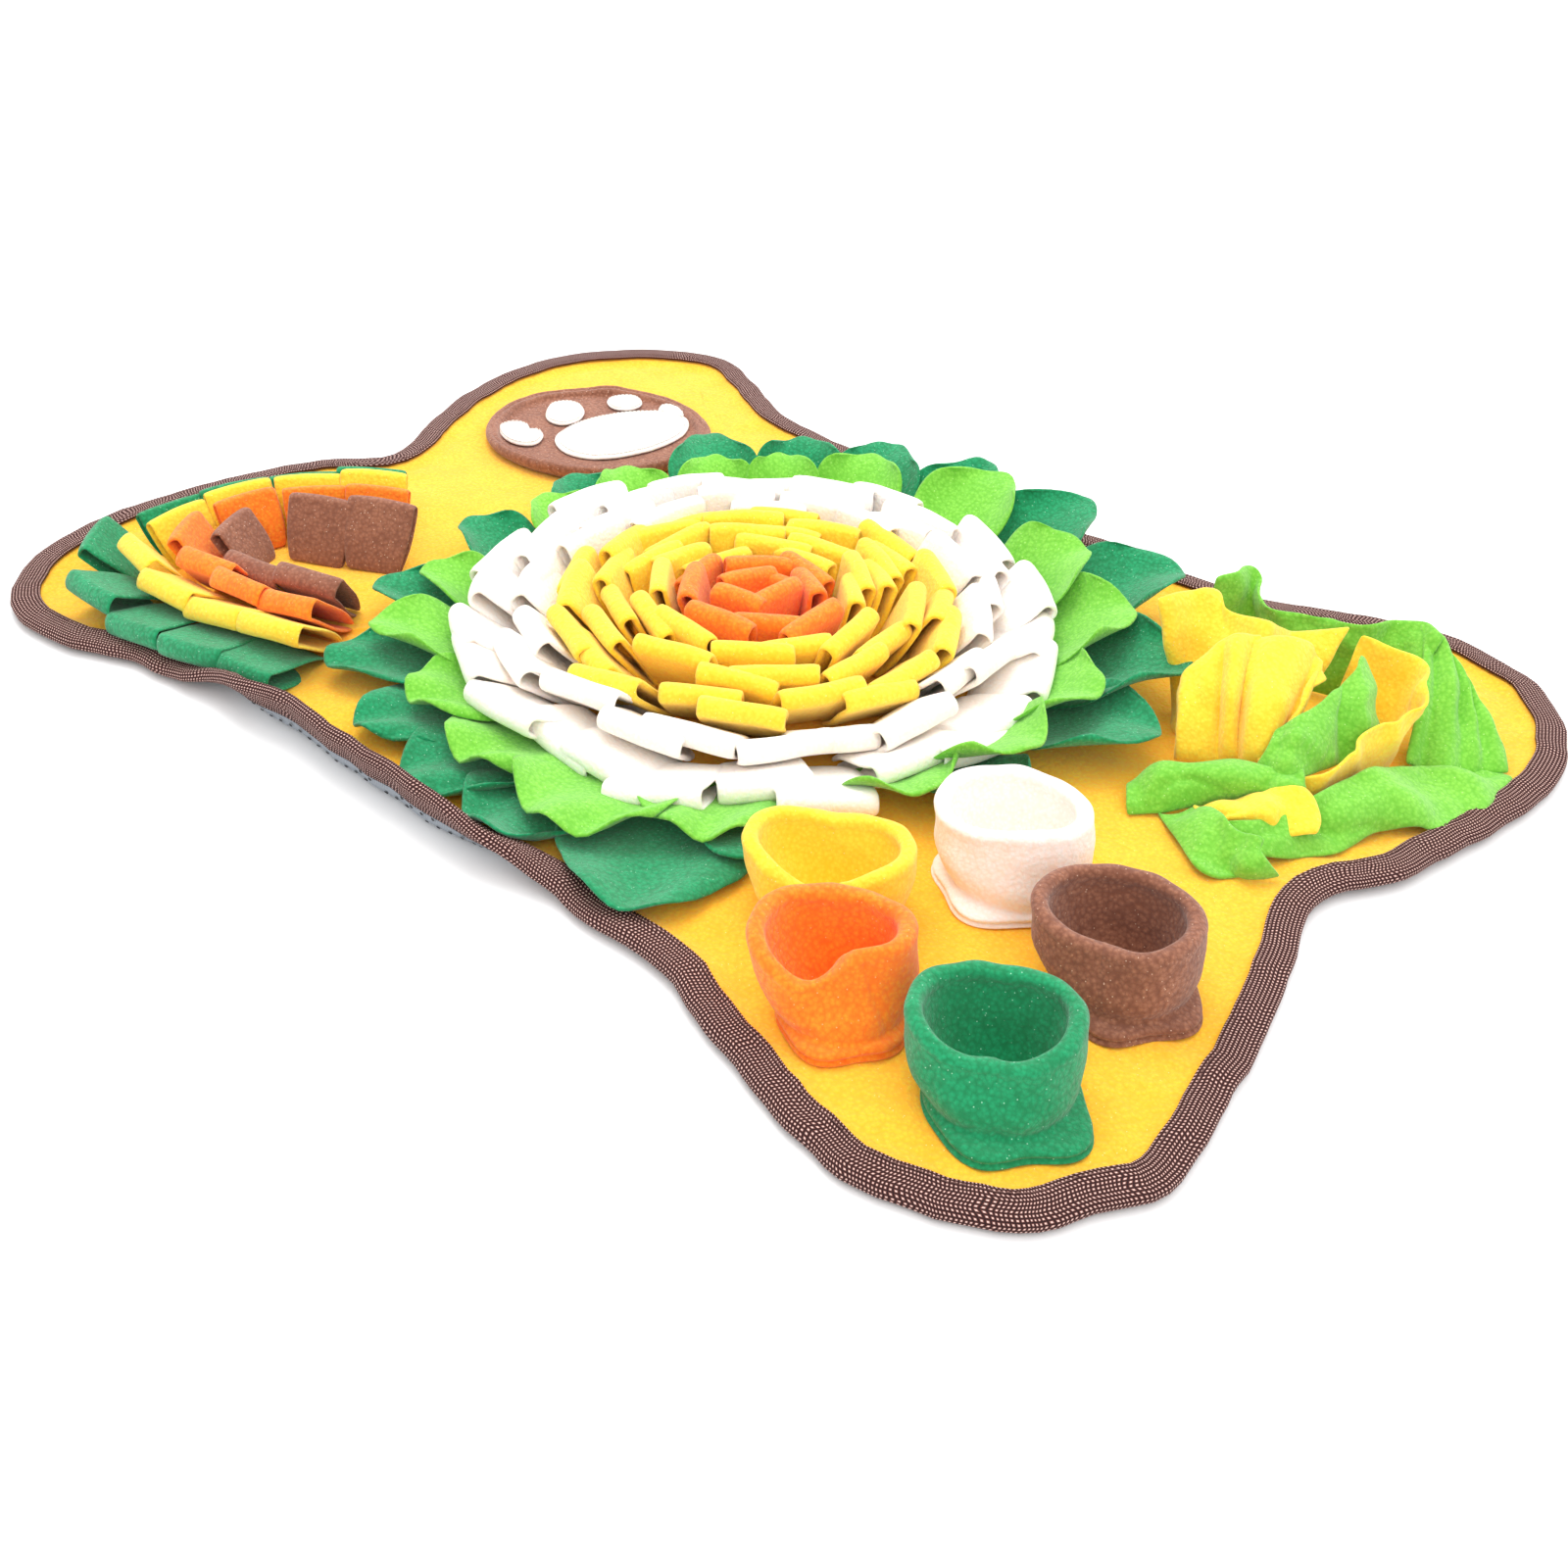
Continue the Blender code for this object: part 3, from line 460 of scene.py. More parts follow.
def binding_material():
    """Herringbone tape: its UV runs in millimetres along and across the strip."""
    mat, nodes = start_material("binding_tape")
    uv = nodes.add("ShaderNodeUVMap", uv_map="strip").outputs["UV"]
    along, across, _ = nodes.add("ShaderNodeSeparateXYZ", {0: uv}).outputs
    bend = nodes.math("PINGPONG", across, 5.4)
    slant = nodes.math("ADD", along, nodes.math("MULTIPLY", bend, 0.45))
    slant = nodes.math("MULTIPLY_ADD", nodes.grain(uv, 0.05, Detail=1.0), 9.0, slant)
    weave = nodes.math("MINIMUM", nodes.waves(slant, 1.7), nodes.waves(across, 1.6))
    shade = nodes.math("MULTIPLY_ADD", nodes.grain(uv, 1.1, Detail=3.0), 0.5, weave)
    # The near-black colour is painted shade where the weave is low, between the yarns.
    gap_shade, yarn, tops = TAPE_COLOURS
    colour = nodes.mix(nodes.ramp(shade, -0.7, 0.45), gap_shade, yarn)
    colour = nodes.mix(nodes.ramp(shade, 0.40, 0.90), colour, tops)
    sockets = {"Roughness": 0.85, "Specular IOR Level": 0.25}
    return finish(mat, nodes, colour, sockets, (weave, 0.6, 0.0004))


def backing_material():
    """Grey woven polyester."""
    mat, nodes = start_material("backing_weave")
    x, y, _ = nodes.add("ShaderNodeSeparateXYZ", {0: nodes.here()}).outputs
    weave = nodes.math("MULTIPLY", nodes.waves(x, YARN_PITCH), nodes.waves(y, YARN_PITCH))
    colour = nodes.mix(nodes.ramp(weave, -1.0, 1.0), *BACKING_COLOURS)
    return finish(mat, nodes, colour, {"Roughness": 0.8}, (weave, 0.4, 0.0003))


def plain_material(name, colour, roughness, grain):
    """Thread or rubber: one colour with a fine uneven grain."""
    mat, nodes = start_material(name)
    fine = nodes.grain(nodes.here(), grain, Detail=3.0)
    shaded = nodes.mix(fine, tuple(c * 0.72 for c in colour), colour)
    return finish(mat, nodes, shaded, {"Roughness": roughness}, (fine, 0.3, 0.0002))


# ---------------- meshes and pieces
def put(name, data):
    """Adds an object at the origin."""
    obj = bpy.data.objects.new(name, data)
    bpy.context.scene.collection.objects.link(obj)
    return obj


def drop(obj):
    bpy.data.objects.remove(obj, do_unlink=True)


def new_mesh(name, verts, faces, mat):
    """An object at the origin, from points in mm."""
    mesh = bpy.data.meshes.new(name)
    mesh.from_pydata([tuple(c * MM for c in v) for v in verts], [], faces)
    mesh.shade_smooth()
    mesh.materials.append(mat)
    return put(name, mesh)


def cloth_area(obj):
    return sum(face.area for face in obj.data.polygons)


def thicken(obj, thickness):
    """Gives an open cloth its thickness, half of it to each side."""
    solid = obj.modifiers.new("cloth", "SOLIDIFY")
    solid.thickness = thickness * MM
    solid.offset = 0.0
    solid.use_quality_normals = True


def soften(obj):
    soft = obj.modifiers.new("soft", "SUBSURF")
    soft.levels = 1
    soft.render_levels = 1


def grid_faces(rows, columns, first=0, closed=False):
    """Quads of a grid of points that is stored row by row."""
    faces = []
    for r in range(rows - 1):
        for k in range(columns if closed else columns - 1):
            a = first + r * columns + k
            b = first + r * columns + (k + 1) % columns
            faces.append((a, b, b + columns, a + columns))
    return faces


def ringed_faces(rings, steps):
    """Faces of rings of points, closed by triangles at one last point."""
    start = (rings - 1) * steps
    tip = rings * steps
    closing = [(start + i, start + (i + 1) % steps, tip) for i in range(steps)]
    return grid_faces(rings, steps, closed=True) + closing


def circle(count):
    """Angles at even steps round a circle."""
    return [2 * math.pi * k / count for k in range(count)]


def hand_over(obj, cloth, *nodes):
    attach(obj, "root")
    if nodes:
        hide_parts(*nodes)


def sheet_out(obj, cloth, node, thickness=CLOTH):
    thicken(obj, thickness)
    soften(obj)
    hand_over(obj, cloth, node)


# ---------------- repeats by nodes
def repeat_tree(name):
    """Sets a pattern on every point, turned and sized by its attributes, then wrinkles it."""
    tree = bpy.data.node_groups.new(name, "GeometryNodeTree")
    sockets = {"Geometry": "Geometry", "Pattern": "Object", "Wrinkle Height": "Float",
               "Wrinkle Scale": "Float", "Seed": "Float", "Cloth": "Material"}
    for socket, kind in sockets.items():
        tree.interface.new_socket(socket, in_out="INPUT", socket_type="NodeSocket" + kind)
    tree.interface.new_socket("Geometry", in_out="OUTPUT", socket_type="NodeSocketGeometry")
    nodes = Nodes(tree)
    given = nodes.add("NodeGroupInput").outputs
    pattern = nodes.add("GeometryNodeObjectInfo", {"Object": given["Pattern"]},
                        transform_space="ORIGINAL")
    turn, size = (nodes.add("GeometryNodeInputNamedAttribute", {"Name": key},
                            data_type="FLOAT_VECTOR").outputs["Attribute"]
                  for key in ("turn", "size"))
    placed = nodes.add("GeometryNodeInstanceOnPoints", {
        "Points": given["Geometry"], "Instance": pattern.outputs["Geometry"],
        "Rotation": turn, "Scale": size})
    real = nodes.add("GeometryNodeRealizeInstances", {"Geometry": placed.outputs["Instances"]})
    bumps = nodes.add("ShaderNodeTexNoise", {
        "Vector": nodes.add("GeometryNodeInputPosition").outputs[0],
        "W": given["Seed"], "Scale": given["Wrinkle Scale"], "Detail": 2.0},
        noise_dimensions="4D")
    middle = nodes.add("ShaderNodeVectorMath", {0: bumps.outputs["Color"], 1: (0.5, 0.5, 0.5)},
                       operation="SUBTRACT")
    push = nodes.add("ShaderNodeVectorMath", {0: middle.outputs[0],
                                              "Scale": given["Wrinkle Height"]},
                     operation="SCALE")
    moved = nodes.add("GeometryNodeSetPosition", {"Geometry": real.outputs[0],
                                                  "Offset": push.outputs[0]})
    cloth = nodes.add("GeometryNodeSetMaterial", {"Geometry": moved.outputs[0],
                                                  "Material": given["Cloth"]})
    nodes.add("NodeGroupOutput", {"Geometry": cloth.outputs[0]})
    return tree


def set_inputs(modifier, values):
    for item in modifier.node_group.interface.items_tree:
        if item.in_out == "INPUT" and item.name in values:
            modifier[item.identifier] = values[item.name]


def spread(tree, name, points, pattern, mat, wrinkle=0.0, scale=60.0, seed=0.0):
    """One mesh of the pattern at every point; a point is (place mm, turn, size)."""
    mesh = bpy.data.meshes.new(name)
    mesh.from_pydata([tuple(c * MM for c in place) for place, _, _ in points], [], [])
    for key, column in (("turn", 1), ("size", 2)):
        values = mesh.attributes.new(key, "FLOAT_VECTOR", "POINT")
        values.data.foreach_set("vector", [c for point in points for c in point[column]])
    carrier = put(name + "_points", mesh)
    modifier = carrier.modifiers.new("repeat", "NODES")
    modifier.node_group = tree
    set_inputs(modifier, {"Pattern": pattern, "Wrinkle Height": wrinkle * MM,
                          "Wrinkle Scale": scale, "Seed": seed, "Cloth": mat})
    depsgraph = bpy.context.evaluated_depsgraph_get()
    made = bpy.data.meshes.new_from_object(carrier.evaluated_get(depsgraph))
    drop(carrier)
    made.name = name
    made.shade_smooth()
    return put(name, made)


def turned(yaw, tilt, twist=0.0, roll=0.0):
    """Euler turn of an upright pattern: rolled, twisted, tilted outwards, then faced."""
    turn = (Matrix.Rotation(yaw, 3, "Z") @ Matrix.Rotation(tilt, 3, "Y")
            @ Matrix.Rotation(twist, 3, "Z") @ Matrix.Rotation(roll, 3, "X"))
    return tuple(turn.to_euler("XYZ"))


# ---------------- mat and binding
def rim_curve():
    curve = catmull(OUTLINE, RIM_STEPS, closed=True)
    low, high = curve.min(axis=0), curve.max(axis=0)
    curve = (curve - (low + high) / 2) * np.array(MAT_SIZE) / (high - low)
    along = np.roll(curve, -1, axis=0) - np.roll(curve, 1, axis=0)
    along /= np.linalg.norm(along, axis=1)[:, None]
    inward = np.stack([along[:, 1], -along[:, 0]], axis=1)
    if np.sum(inward * curve) > 0:
        inward = -inward
    for row, (x, y) in enumerate(curve.copy()):
        wave = RIM_WAVE * (ripple(x, y, 38.0, 12.0) + 0.4 * ripple(x, y, 15.0, 13.0))
        curve[row] += inward[row] * (max(wave, -2.0) - CURL_REACH * curl_amount(x, y))
    return curve, inward


def softened(inward):
    """Inward directions averaged along the rim, so that deep rings don't cross."""
    soft = sum(np.roll(inward, k, axis=0) for k in range(-12, 13))
    return soft / np.linalg.norm(soft, axis=1)[:, None]


def nearest_rim(curve, x, y):
    """The number of the rim's nearest point, and its distance."""
    away = np.hypot(curve[:, 0] - x, curve[:, 1] - y)
    nearest = int(np.argmin(away))
    return nearest, float(away[nearest])


def curl_amount(x, y):
    """From 0, flat, to 1 where the near waist turns up most."""
    if y > NEAR_SIDE:
        return 0.0
    return smooth(1.5 * (1 - abs(x - CURL_CENTRE_X) / CURL_HALF_WIDTH))


def bent(inset, amount):
    """Plan distance, lift and slope of the cloth at a distance in from its edge."""
    if amount < 0.01 or inset >= CURL_START:
        return inset, 0.0, 0.0
    most = CURL_ANGLE * amount
    radius = (CURL_START - CURL_END) / most
    slope = most * min((CURL_START - inset) / (CURL_START - CURL_END), 1.0)
    plan = CURL_START - radius * math.sin(slope)
    lift = radius * (1 - math.cos(slope))
    rest = max(CURL_END - inset, 0.0)
    return plan - rest * math.cos(most), lift + rest * math.sin(most), slope


def lay(rim, inward, inset, height):
    """The place of a point of the mat's cloths, with the rim's ripple and curl."""
    x, y = rim
    amount = curl_amount(x, y)
    angle = math.atan2(y, x)
    wave = 1.3 + 0.9 * math.sin(5 * angle + 1.0) + 0.4 * math.sin(11 * angle)
    wave *= max(1 - (max(inset, RIM_INSET) - RIM_INSET) / (RIPPLE_ZONE - RIM_INSET), 0.0)
    plan, lift, slope = bent(inset, amount)
    height += wave * (1 - 0.7 * amount)
    out = plan + height * math.sin(slope)
    return x + inward[0] * out, y + inward[1] * out, lift + height * math.cos(slope)


def fade_in(place, middle, radius, width):
    """From 0 within a radius of a middle to 1 past its soft border."""
    return smooth((math.dist(place, middle) - radius) / width)


def mat_sheet(name, node, slot, mat, middle, thickness, creases, curve, inward):
    """A cloth of the mat, from rings that run in from the rim."""
    insets = (RIM_INSET, 6.0, 10.0, BINDING_WIDTH, 18.0, 22.0, 25.0, 28.0, 31.0, 34.0, 38.0)
    verts = []
    deep = softened(inward)
    for inset in insets:
        step = BINDING_STEP * (1 - smooth((inset - BINDING_WIDTH) / 6.0))
        share = smooth((inset - BINDING_WIDTH) / 12)
        for rim, near, far in zip(curve, inward, deep):
            pucker = creases * smooth((inset - 12) / 10) * ripple(*rim, 9.0, inset * 0.06)
            verts.append(lay(rim, near * (1 - share) + far * share, inset,
                             middle + step + max(pucker, -0.5)))
    edge = verts[-RIM_STEPS:]
    shares = (0.93, 0.86, 0.79, 0.72, 0.64, 0.56, 0.48, 0.4, 0.28, 0.15)
    for share in shares:
        for x, y, _ in edge:
            px, py = x * share, y * share
            calm = fade_in((px, py), DISH[:2], *CALM_DISH)
            for row in CUPS.values():
                calm *= fade_in((px, py), row[1:3], *CALM_CUP)
            crease = (0.9 * ripple(px, py, 42.0, 5.0) + 0.4 * ripple(px, py, 17.0, 8.0)
                      + 1.3 * (1 - abs(ripple(px, py, 70.0, 15.0))) ** 7)
            verts.append((px, py, middle + creases * calm * max(crease, -0.6)))
    verts.append((0, 0, middle))
    faces = ringed_faces(len(insets) + len(shares), RIM_STEPS)
    obj = new_mesh(name, verts, faces, mat)
    thicken(obj, thickness)
    hand_over(obj, slot, node)


def binding_strip(mat, curve, inward):
    """The folded tape, with its section swept round the rim and slightly puckered."""
    top, inner = BINDING_TOP, RIM_INSET - 0.4
    section = (
        (BINDING_WIDTH, top), (BINDING_WIDTH - 1.2, top + 0.35), (9.0, top - 0.1),
        (4.0, top - 0.9), (1.4, top - 1.6), (0.3, top - 2.5), (0.0, top / 2 - 0.4), (0.3, 1.9),
        (1.4, 0.8), (4.0, 0.1), (BINDING_WIDTH - 2, 0.0), (BINDING_WIDTH - 2, 1.0),
        (inner, 1.0), (inner, top - 2.3), (BINDING_WIDTH, top - 1.0),
    )
    size = len(section)
    verts = []
    for rim, near in zip(curve, inward):
        for inset, height in section:
            pucker = 0.35 * ripple(*rim, 5.0, 2.0) * smooth((height - 3) / 3)
            edge = 0.5 * ripple(*rim, 9.0, 6.0) * smooth((inset - 8) / 6)
            verts.append(lay(rim, near, inset + edge, height + pucker))
    faces = []
    for i in range(RIM_STEPS):
        j = (i + 1) % RIM_STEPS
        for k in range(size):
            m = (k + 1) % size
            faces.append((i * size + k, j * size + k, j * size + m, i * size + m))
    obj = new_mesh("binding_tape", verts, faces, mat)
    along = lengths_along(np.concatenate([curve, curve[:1]]))
    across = [0.0]
    for a, b in zip(section, section[1:] + section[:1]):
        across.append(across[-1] + math.dist(a, b))
    strip = obj.data.uv_layers.new(name="strip")
    loop = 0
    for i in range(RIM_STEPS):
        for k in range(size):
            corners = ((i, k), (i + 1, k), (i + 1, k + 1), (i, k + 1))
            for station, point in corners:
                strip.data[loop].uv = (along[station], across[point])
                loop += 1
    hand_over(obj, "binding", "binding")


# ---------------- stitches
def stitch_pattern(length, radius, mat):
    """A short thread between two holes, along +X, as a low arched tube."""
    verts = []
    sides = 6
    stations = ((-0.5, -0.3), (-0.35, 0.5), (0.0, 0.8), (0.35, 0.5), (0.5, -0.3))
    for along, lift in stations:
        for angle in circle(sides):
            verts.append((along * length, radius * math.cos(angle),
                          radius * (math.sin(angle) + lift)))
    faces = grid_faces(len(stations), sides, closed=True)
    faces.append(tuple(reversed(range(sides))))
    faces.append(tuple(range(len(verts) - sides, len(verts))))
    obj = new_mesh("pattern_stitch", verts, faces, mat)
    obj.data.flip_normals()
    return obj


def stitch_line(tree, name, route, pattern, pitch, mat, slot):
    """Stitches along a route of points in mm."""
    route = np.array(route, float)
    along = lengths_along(route)
    count = int(along[-1] / pitch)
    marks = (np.arange(count) + 0.5) * along[-1] / count
    spots = at_lengths(route, along, marks)
    ahead = at_lengths(route, along, marks + 0.5)
    points = []
    for spot, next_spot in zip(spots, ahead):
        dx, dy, dz = next_spot - spot
        yaw, rise = math.atan2(dy, dx), math.atan2(dz, math.hypot(dx, dy))
        points.append((tuple(spot), (0.0, -rise, yaw), (1.0, 1.0, 1.0)))
    obj = spread(tree, name, points, pattern, mat)
    hand_over(obj, slot)


# ---------------- loops
def loop_pattern(name, length, depth, width, mat, pinch=0.35):
    """One upright loop of folded cloth: a strip from the root, over and back."""
    radius = depth / 2
    centre = length - radius
    leg = pinch * radius
    profile = [(0.5, 0.0), (0.6 * leg + 0.6, 0.15 * centre), (leg + 0.6, 0.42 * centre),
               (0.9 * radius, 0.80 * centre)]
    for step in range(9):
        angle = math.radians(-12 + 204 * step / 8)
        profile.append((radius * math.cos(angle), centre + radius * math.sin(angle)))
    profile += [(-x, z) for x, z in reversed(profile[:4])]
    across = (-1.0, -0.7, -0.35, 0.0, 0.35, 0.7, 1.0)
    verts = []
    for share in across:
        flare = 1 + 0.10 * share * share
        for x, z in profile:
            gather = lerp(0.80, 1.0, smooth(z / (0.6 * length)))
            verts.append((x * flare, 0.5 * width * share * gather,
                          z * (1 - 0.03 * share * share)))
    return new_mesh(name, verts, grid_faces(len(across), len(profile)), mat)


def flower_ring(tree, number, row, mats):
    radius, count, near, far, length, depth, width, cloth, node = row
    cx, cy = FLOWER_CENTRE
    pattern = loop_pattern("pattern_" + node, length, depth, width, mats[cloth],
                           pinch=lerp(0.5, 0.9, number / 6))
    points = []
    for i in range(count):
        angle = (i + 0.20 * wobble(i, number + 7)) * 2 * math.pi / count + number * 0.83
        share = (0.5 + 0.5 * math.cos(angle - FAR_SIDE)) ** 1.4
        lean = lerp(near, far, share) + 5.0 * wobble(i, number)
        own_radius = radius + (RING_STAGGER if i % 2 else -RING_STAGGER)
        twist = math.radians(13 * wobble(i, number + 4))
        roll = math.radians(8 * wobble(i, number + 9))
        room = 2 * math.pi * (radius + length * math.cos(math.radians(lean))) / count
        crowd = LOOP_CROWD[0] if number < 2 else LOOP_CROWD[1]
        wide = min(1.0, crowd * room / width) * (1 + 0.08 * wobble(i, number + 1))
        tall = lerp(1.0, 0.86 - 0.017 * number, share) * (1 + 0.09 * wobble(i, number + 5))
        points.append(((cx + own_radius * math.cos(angle), cy + own_radius * math.sin(angle), BED),
                       turned(angle, math.radians(90 - lean), twist, roll),
                       (1.0, wide, tall)))
    obj = spread(tree, node + "_loops", points, pattern, mats[cloth], *LOOP_WRINKLE,
                 number * 3.7)
    drop(pattern)
    sheet_out(obj, cloth, node, LOOP_CLOTH)


def fan_row(tree, number, row, mats):
    cloth, route, tabs = row
    count = len(tabs)
    fine = catmull(route, 2 * count + 1, closed=False)
    node = "fan_" + cloth
    pitches = [math.dist(fine[2 * i], fine[2 * i + 2]) for i in range(count)]
    base_length, base_width = 38.0, 40.0
    pattern = loop_pattern("pattern_" + node, base_length, FAN_TAB_DEPTH, base_width,
                           mats[cloth], pinch=0.8)
    points = []
    for i, (lean, length) in enumerate(tabs):
        x, y = fine[2 * i + 1]
        dx, dy = fine[2 * i + 2] - fine[2 * i]
        yaw = math.atan2(-dx, dy)
        wide = min(1.16 * pitches[i], 42.0) / base_width
        front = smooth((i / (count - 1) - 0.42) / 0.2)
        turn = turned(yaw, math.radians(90 - lean - 2.5 * wobble(i, 6)),
                      math.radians(6 * wobble(i, 3)), math.radians(5 * wobble(i, 8)))
        points.append(((x, y, BED), turn,
                       (lerp(1.0, FAN_FRONT_DEPTH / FAN_TAB_DEPTH, front), wide,
                        (1.14 * length + 1.5 * wobble(i, 2)) / base_length)))
    obj = spread(tree, node + "_tabs", points, pattern, mats[cloth], *TAB_WRINKLE,
                 20 + number * 1.9)
    drop(pattern)
    sheet_out(obj, cloth, node)


# ---------------- leaves
def mat_rise(curve, x, y):
    """How far the fleece is raised under a point, by the rim's curl and binding."""
    nearest, distance = nearest_rim(curve, x, y)
    amount = curl_amount(*curve[nearest])
    bends = [bent(inset, amount) for inset in (0, 5, 10, 16, 22, 26, 30, CURL_START)]
    lift = float(np.interp(distance, [b[0] for b in bends], [b[1] for b in bends]))
    step = (BINDING_STEP + 2.6 * smooth((BINDING_WIDTH + 1 - distance) / 3)) * smooth(
        (RIPPLE_ZONE + 4 - distance) / 4)
    return lift + step + 1.4 * smooth((RIPPLE_ZONE - distance) / RIPPLE_ZONE)


def leaf_wreath(name, node, cloth, leaves, root_radius, low, mats, curve):
    """Rounded, ruffled leaves whose roots are sewn down under the flower's rim."""
    cx, cy = FLOWER_CENTRE
    lengthwise, crosswise = 14, 9
    verts, faces = [], []
    for i, (degrees, tip_radius, tip_height, half, ruffle) in enumerate(leaves):
        angle = math.radians(degrees)
        nx, ny = math.cos(angle), math.sin(angle)
        reach = tip_radius - root_radius
        bend = math.radians(7 * wobble(i, 11))
        hollow = LEAF_HOLLOW[0] if ruffle < RUFFLED else LEAF_HOLLOW[1]
        first = len(verts)
        for r in range(lengthwise):
            t = 1 - (1 - r / (lengthwise - 1)) ** 1.3
            outline = lerp(0.72, 1.0, smooth(t / 0.6))
            if t > 0.6:
                outline = lerp(1.0, 0.60 + 0.028 * ruffle, ((t - 0.6) / 0.4) ** 1.8)
            wide = half * outline * (1 + 0.03 * wobble(i, 2))
            rise = low + (tip_height - low) * smooth(t) ** 1.15
            side_x = -ny * math.sin(bend * t) * reach * 0.4
            side_y = nx * math.sin(bend * t) * reach * 0.4
            for c in range(crosswise):
                s = 2 * c / (crosswise - 1) - 1
                out = reach * t * (1 - 0.32 * t * abs(s) ** 2.2)
                x = cx + nx * (root_radius + out) - ny * s * wide + side_x
                y = cy + ny * (root_radius + out) + nx * s * wide + side_y
                cup = hollow * wide * s * s * (0.4 + t) * smooth(t / 0.3)
                rim_share = max(abs(s) ** 2, smooth((t - 0.45) / 0.5)) * smooth(t / 0.45)
                edge = ruffle * rim_share * math.sin(7.0 * s + 3.5 * t + 3 * wobble(i, 4))
                small = 1.2 * ripple(x, y, 17.0, 4.0 + i)
                crease = -0.9 * math.exp(-(s / 0.16) ** 2) * (1 - t)
                z = BED + CLOTH / 2 + max(rise + cup + 0.6 * edge + small + crease, 0.3)
                verts.append((x, y, z + mat_rise(curve, x, y)))
        faces += grid_faces(lengthwise, crosswise, first)
    obj = new_mesh(name, verts, faces, mats[cloth])
    sheet_out(obj, cloth, node)


# ---------------- cups
def cup(name, mats):
    """A doubled fleece tube: foot, outer wall, rolled rim, inner wall and floor."""
    cloth, x, y, height, radii, drops = CUPS[name]
    foot_at, foot_size, lean_x, lean_y, seam_at = FEET[name]
    seam_depth, seam_width = SEAM_DENT
    # Each row: the offset from the wall's outer face, the share of the height, and the
    # share of the mouth's own shape.
    outer = [(1.6, 0.24, 0.3), (2.8, 0.38, 0.5), (3.2, 0.53, 0.7),
             (2.6, 0.68, 0.85), (1.2, 0.82, 0.95)]
    rim = []
    for k in range(8):
        turn = math.radians(-25 + 230 * k / 7)
        half = RIM_ROLL / 2
        rim.append((half * math.cos(turn) - CUP_WALL / 2, 0.915 + half / height * math.sin(turn),
                    1.0))
    inner = [(-CUP_WALL, 0.80, 1.0), (-CUP_WALL - 0.8, 0.62, 0.9), (-CUP_WALL - 2.0, 0.42, 0.7),
             (-CUP_WALL - 3.5, 0.22, 0.4), (-CUP_WALL - 6.0, 0.07, 0.2)]
    base = sum(radii) / len(radii) * 0.92
    verts = []
    for angle in circle(CUP_STEPS):
        mouth = around(radii, angle)
        drop = around(drops, angle)
        side = 0.5 + 0.5 * math.cos(angle - math.radians(foot_at))
        ruffle = 1 + 0.35 * math.sin(5 * angle + x) * side
        foot = 1.0 + foot_size * side * side * ruffle
        fold = 0.0168 * max(math.sin(3 * angle + y), 0) * side
        rows = [(foot - 1.2, 0.0, 0.0), (foot, 0.015, 0.0), (foot - 0.1, 0.04, 0.0),
                (foot - 2.2, 0.055, 0.0), (foot - 0.2, 0.085 + fold, 0.0),
                (foot - 0.8, 0.125 + fold, 0.0), (0.5 * foot, 0.145 + fold, 0.03),
                (0.6, 0.165, 0.06)]
        for offset, share, own in (*rows, *outer, *rim, *inner):
            top = height - BED - drop * own
            z = share * top
            r = lerp(base, mouth, own * smooth(1.5 * share + 0.1))
            tall = min(share, 1.0)
            px = lean_x * tall + math.cos(angle) * (r + offset)
            py = lean_y * tall + math.sin(angle) * (r + offset)
            dent = 1.1 * ripple(x + px, y + py + z, 13.0, 9.0) * smooth(3 * share)
            slouch = math.sin(9 * share - 1.2 + 0.8 * math.sin(angle + y))
            dent += 1.3 * slouch * smooth(4 * share) * smooth(3 * (0.9 - share))
            from_seam = math.remainder(angle - math.radians(seam_at), 2 * math.pi)
            dent -= seam_depth * math.exp(-(from_seam / seam_width) ** 2) * smooth(5 * share)
            verts.append((x + px + dent * math.cos(angle), y + py + dent * math.sin(angle),
                          BED + z + 0.5 * dent * own))
    size = len(verts) // CUP_STEPS
    faces = []
    for i in range(CUP_STEPS):
        j = (i + 1) % CUP_STEPS
        for k in range(size - 1):
            faces.append((i * size + k, j * size + k, j * size + k + 1, i * size + k + 1))
        faces.append((i * size + size - 1, j * size + size - 1, len(verts)))
        faces.append((j * size, i * size, len(verts) + 1))
    verts += [(x, y, BED + 1.6), (x, y, BED)]
    obj = new_mesh("cup_%s_cloth" % name, verts, faces, mats[cloth])
    soften(obj)
    hand_over(obj, cloth, "cup_" + name)


# ---------------- paw dish
def ringed(name, node, cloth, outline, rings, centre_z, mats, flat):
    """A piece from rings: each ring is a share of the outline and a height per point."""
    cx = sum(x for x, _ in outline) / len(outline)
    cy = sum(y for _, y in outline) / len(outline)
    verts = []
    for share, heights in rings:
        for (x, y), z in zip(outline, heights):
            px, py = lerp(cx, x, share), lerp(cy, y, share)
            verts.append((px, py, z + 0.35 * ripple(px, py, 9.0, 2.0)))
    verts.append((cx, cy, centre_z))
    steps = len(outline)
    obj = new_mesh(name, verts, ringed_faces(len(rings), steps), mats[cloth])
    area = cloth_area(obj)
    thicken(obj, CLOTH)
    soften(obj)
    hand_over(obj, cloth, node)
    width, length = flat
    area = min(area, width * length)
    return verts[:steps]


